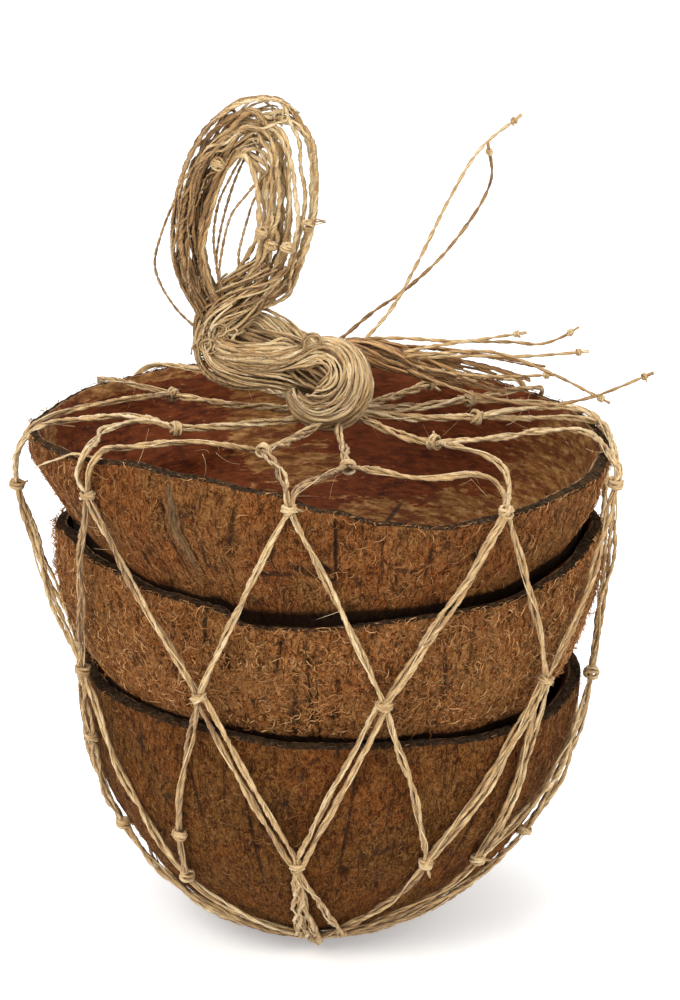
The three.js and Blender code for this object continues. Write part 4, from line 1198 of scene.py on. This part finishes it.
def rimMaterial():
    material, shader = startMaterial("sawn_rim", 1.0, 0)
    place = addNode("TexCoord", {}, "Object")
    specks = noiseFrom(place, 1100, 5, 0.8)
    patches = noiseFrom(place, 170, 4, 0.65)
    colour = ramped(specks, [(0.38, (0.012, 0.007, 0.004)), (0.52, (0.034, 0.021, 0.012)),
                             (0.62, (0.07, 0.046, 0.028)), (0.72, (0.2, 0.14, 0.085))])
    colour = mixed(ranged(patches, 0.5, 0.66, 0, 0.7), colour, (0.065, 0.033, 0.015))
    lip = figured('MULTIPLY', ranged(valueOf("mark"), 0.78, 0.97), ranged(patches, 0.4, 0.55, 0.1, 0.9))
    colour = mixed(lip, colour, (0.33, 0.2, 0.11))
    return finished(material, shader, colour, specks, 0.8, 0.0004)


# Bare tan patches on the inside: azimuth, height, half width and half height
tanPatches = [(-166, 106, 12, 16), (-172, 97, 17, 6), (-135, 124, 36, 4.6), (-92, 118, 16, 7),
              (104, 110, 28, 18), (156, 87, 30, 5.2), (133, 91, 22, 6.5), (117, 100, 17, 11)]
darkMark = (160.9, 84, 156, 90.4, 0.8)


def insideMaterial():
    material, shader = startMaterial("shell_inside", 0.5, 0.06)
    grain = valueOf("grain", "Vector")
    streaks = noiseFrom(scaledBy(grain, (0.22, 0.22, 1)), 0.95, 7, 0.7)
    soft = noiseFrom(scaledBy(grain, (0.4, 0.4, 1)), 0.16)
    edges = noiseFrom(scaledBy(grain, (0.2, 0.2, 1)), 0.42, 8, 0.7)
    flecks = noiseFrom(scaledBy(grain, (0.3, 0.3, 1), (9, 40, 3)), 1.3, 3)
    stripes = noiseFrom(scaledBy(grain, (0.13, 0.13, 0.8), (4, 6, 2)), 0.75, 5, 0.65)
    colour = ramped(streaks, [(0.36, (0.034, 0.009, 0.004)), (0.5, (0.094, 0.021, 0.006)),
                              (0.66, (0.175, 0.046, 0.012))])
    colour = mixed(ranged(soft, 0.42, 0.66, 0, 0.6), colour, (0.15, 0.036, 0.01))
    colour = mixed(ranged(flecks, 0.66, 0.74, 0, 0.55), colour, (0.36, 0.16, 0.07))
    tan = ramped(streaks, [(0.34, (0.085, 0.028, 0.008)), (0.5, (0.2, 0.085, 0.024)),
                           (0.64, (0.37, 0.2, 0.075))])
    tan = mixed(ranged(stripes, 0.52, 0.57, 0, 0.85), tan, (0.1, 0.026, 0.009))
    away = combined('MINIMUM', [awayFrom(grain, grainPoint(topShell, azimuth, z), (wide, wide, tall))
                                for azimuth, z, wide, tall in tanPatches])
    colour = mixed(ranged(weighted((edges, 3), (away, -1)), 0.58, 0.7), colour, tan)
    away = markAway(grain, topShell, darkMark)
    colour = mixed(ranged(away, 0.6, 1.0, 0.85, 0), colour, (0.03, 0.019, 0.013))
    return finished(material, shader, colour, streaks, 0.4, 0.0005)


def coirMaterial(name):
    material, shader = startMaterial("loose_coir_" + name[6:], 0.75, 0.3)
    stops = list(zip((0.0, 0.25, 0.5, 0.78), huskLook[name]["colours"][1:]))
    return finished(material, shader, ramped(valueOf("shade"), stops))


def twineMaterial(name, dark, middle, pale):
    material, shader = startMaterial(name, 0.6, 0.35)
    shader.inputs["Sheen Weight"].default_value = 0.15
    uv = addNode("UVMap", {}, uv_map="along")
    fibres = noiseFrom(scaledBy(uv, (1, 0.05, 1)), 3.2, 3)
    patches = noiseFrom(scaledBy(uv, (0.3, 0.12, 1)), 1.1, 3, 0.5)
    value = weighted((fibres, 1), (patches, 0.25), (valueOf("shade"), 0.3))
    colour = ramped(value, [(0.56, dark), (0.71, middle), (0.85, pale), (0.97, (0.78, 0.61, 0.36))])
    return finished(material, shader, colour, fibres, 0.9, 0.0005)


rimFinish = rimMaterial()
insideFinish = insideMaterial()
for shell, piece, hairs in zip(stack, shells, coirPieces):
    for finish in (huskMaterial(shell), rimFinish, insideFinish):
        piece.data.materials.append(finish)
    hairs.data.materials.append(coirMaterial(shell["name"]))
strawTwine = twineMaterial("straw_twine", (0.15, 0.072, 0.024), (0.42, 0.24, 0.088), (0.62, 0.415, 0.185))
hankTwine = twineMaterial("hank_twine", (0.13, 0.055, 0.014), (0.385, 0.2, 0.062), (0.62, 0.42, 0.185))
brownTwine = twineMaterial("brown_twine", (0.14, 0.053, 0.012), (0.42, 0.2, 0.052), (0.62, 0.37, 0.14))
for piece in (upperPiece, lowerPiece, knotPiece):
    piece.data.materials.append(strawTwine)
for piece in (hankPiece, *tailPieces):
    piece.data.materials.append(hankTwine)
trunkPiece.data.materials.append(brownTwine)
print("materials made")


bpy.context.scene.view_settings.view_transform = 'Standard'

# Studio: pale floor, one broad soft key from the upper left, a weaker fill from the right
studio = {
    "floor": (0.9, 0.9, 0.89), "world": (1, 1, 1), "worldStrength": 0.78, "glow": 0.3,
    "lights": [("key", (-0.55, -0.9, 0.95), 0.7, 12), ("fill", (0.85, -0.6, 0.55), 0.8, 5),
               ("top", (0.05, 0.15, 1.1), 0.6, 5)],
}
bpy.ops.mesh.primitive_plane_add(size=8, location=(0, 0, 0))
floor = bpy.context.object
floor.name = "floor"
floorFinish, floorShader = startMaterial("pale_floor", 0.9, 0.1)
floorShader.inputs["Base Color"].default_value = (*studio["floor"], 1)
floorShader.inputs["Emission Color"].default_value = (1, 1, 1, 1)
floorShader.inputs["Emission Strength"].default_value = studio["glow"]
floor.data.materials.append(floorFinish)
world = bpy.data.worlds.new("studio")
world.use_nodes = True
world.node_tree.nodes["Background"].inputs["Color"].default_value = (*studio["world"], 1)
world.node_tree.nodes["Background"].inputs["Strength"].default_value = studio["worldStrength"]
bpy.context.scene.world = world
for name, place, size, power in studio["lights"]:
    aim = Vector((0, 0, 0.09)) - Vector(place)
    bpy.ops.object.light_add(type='AREA', location=place, rotation=aim.to_track_quat('-Z', 'Y').to_euler())
    light = bpy.context.object
    light.name = name
    light.data.size = size
    light.data.energy = power
print("studio lit")
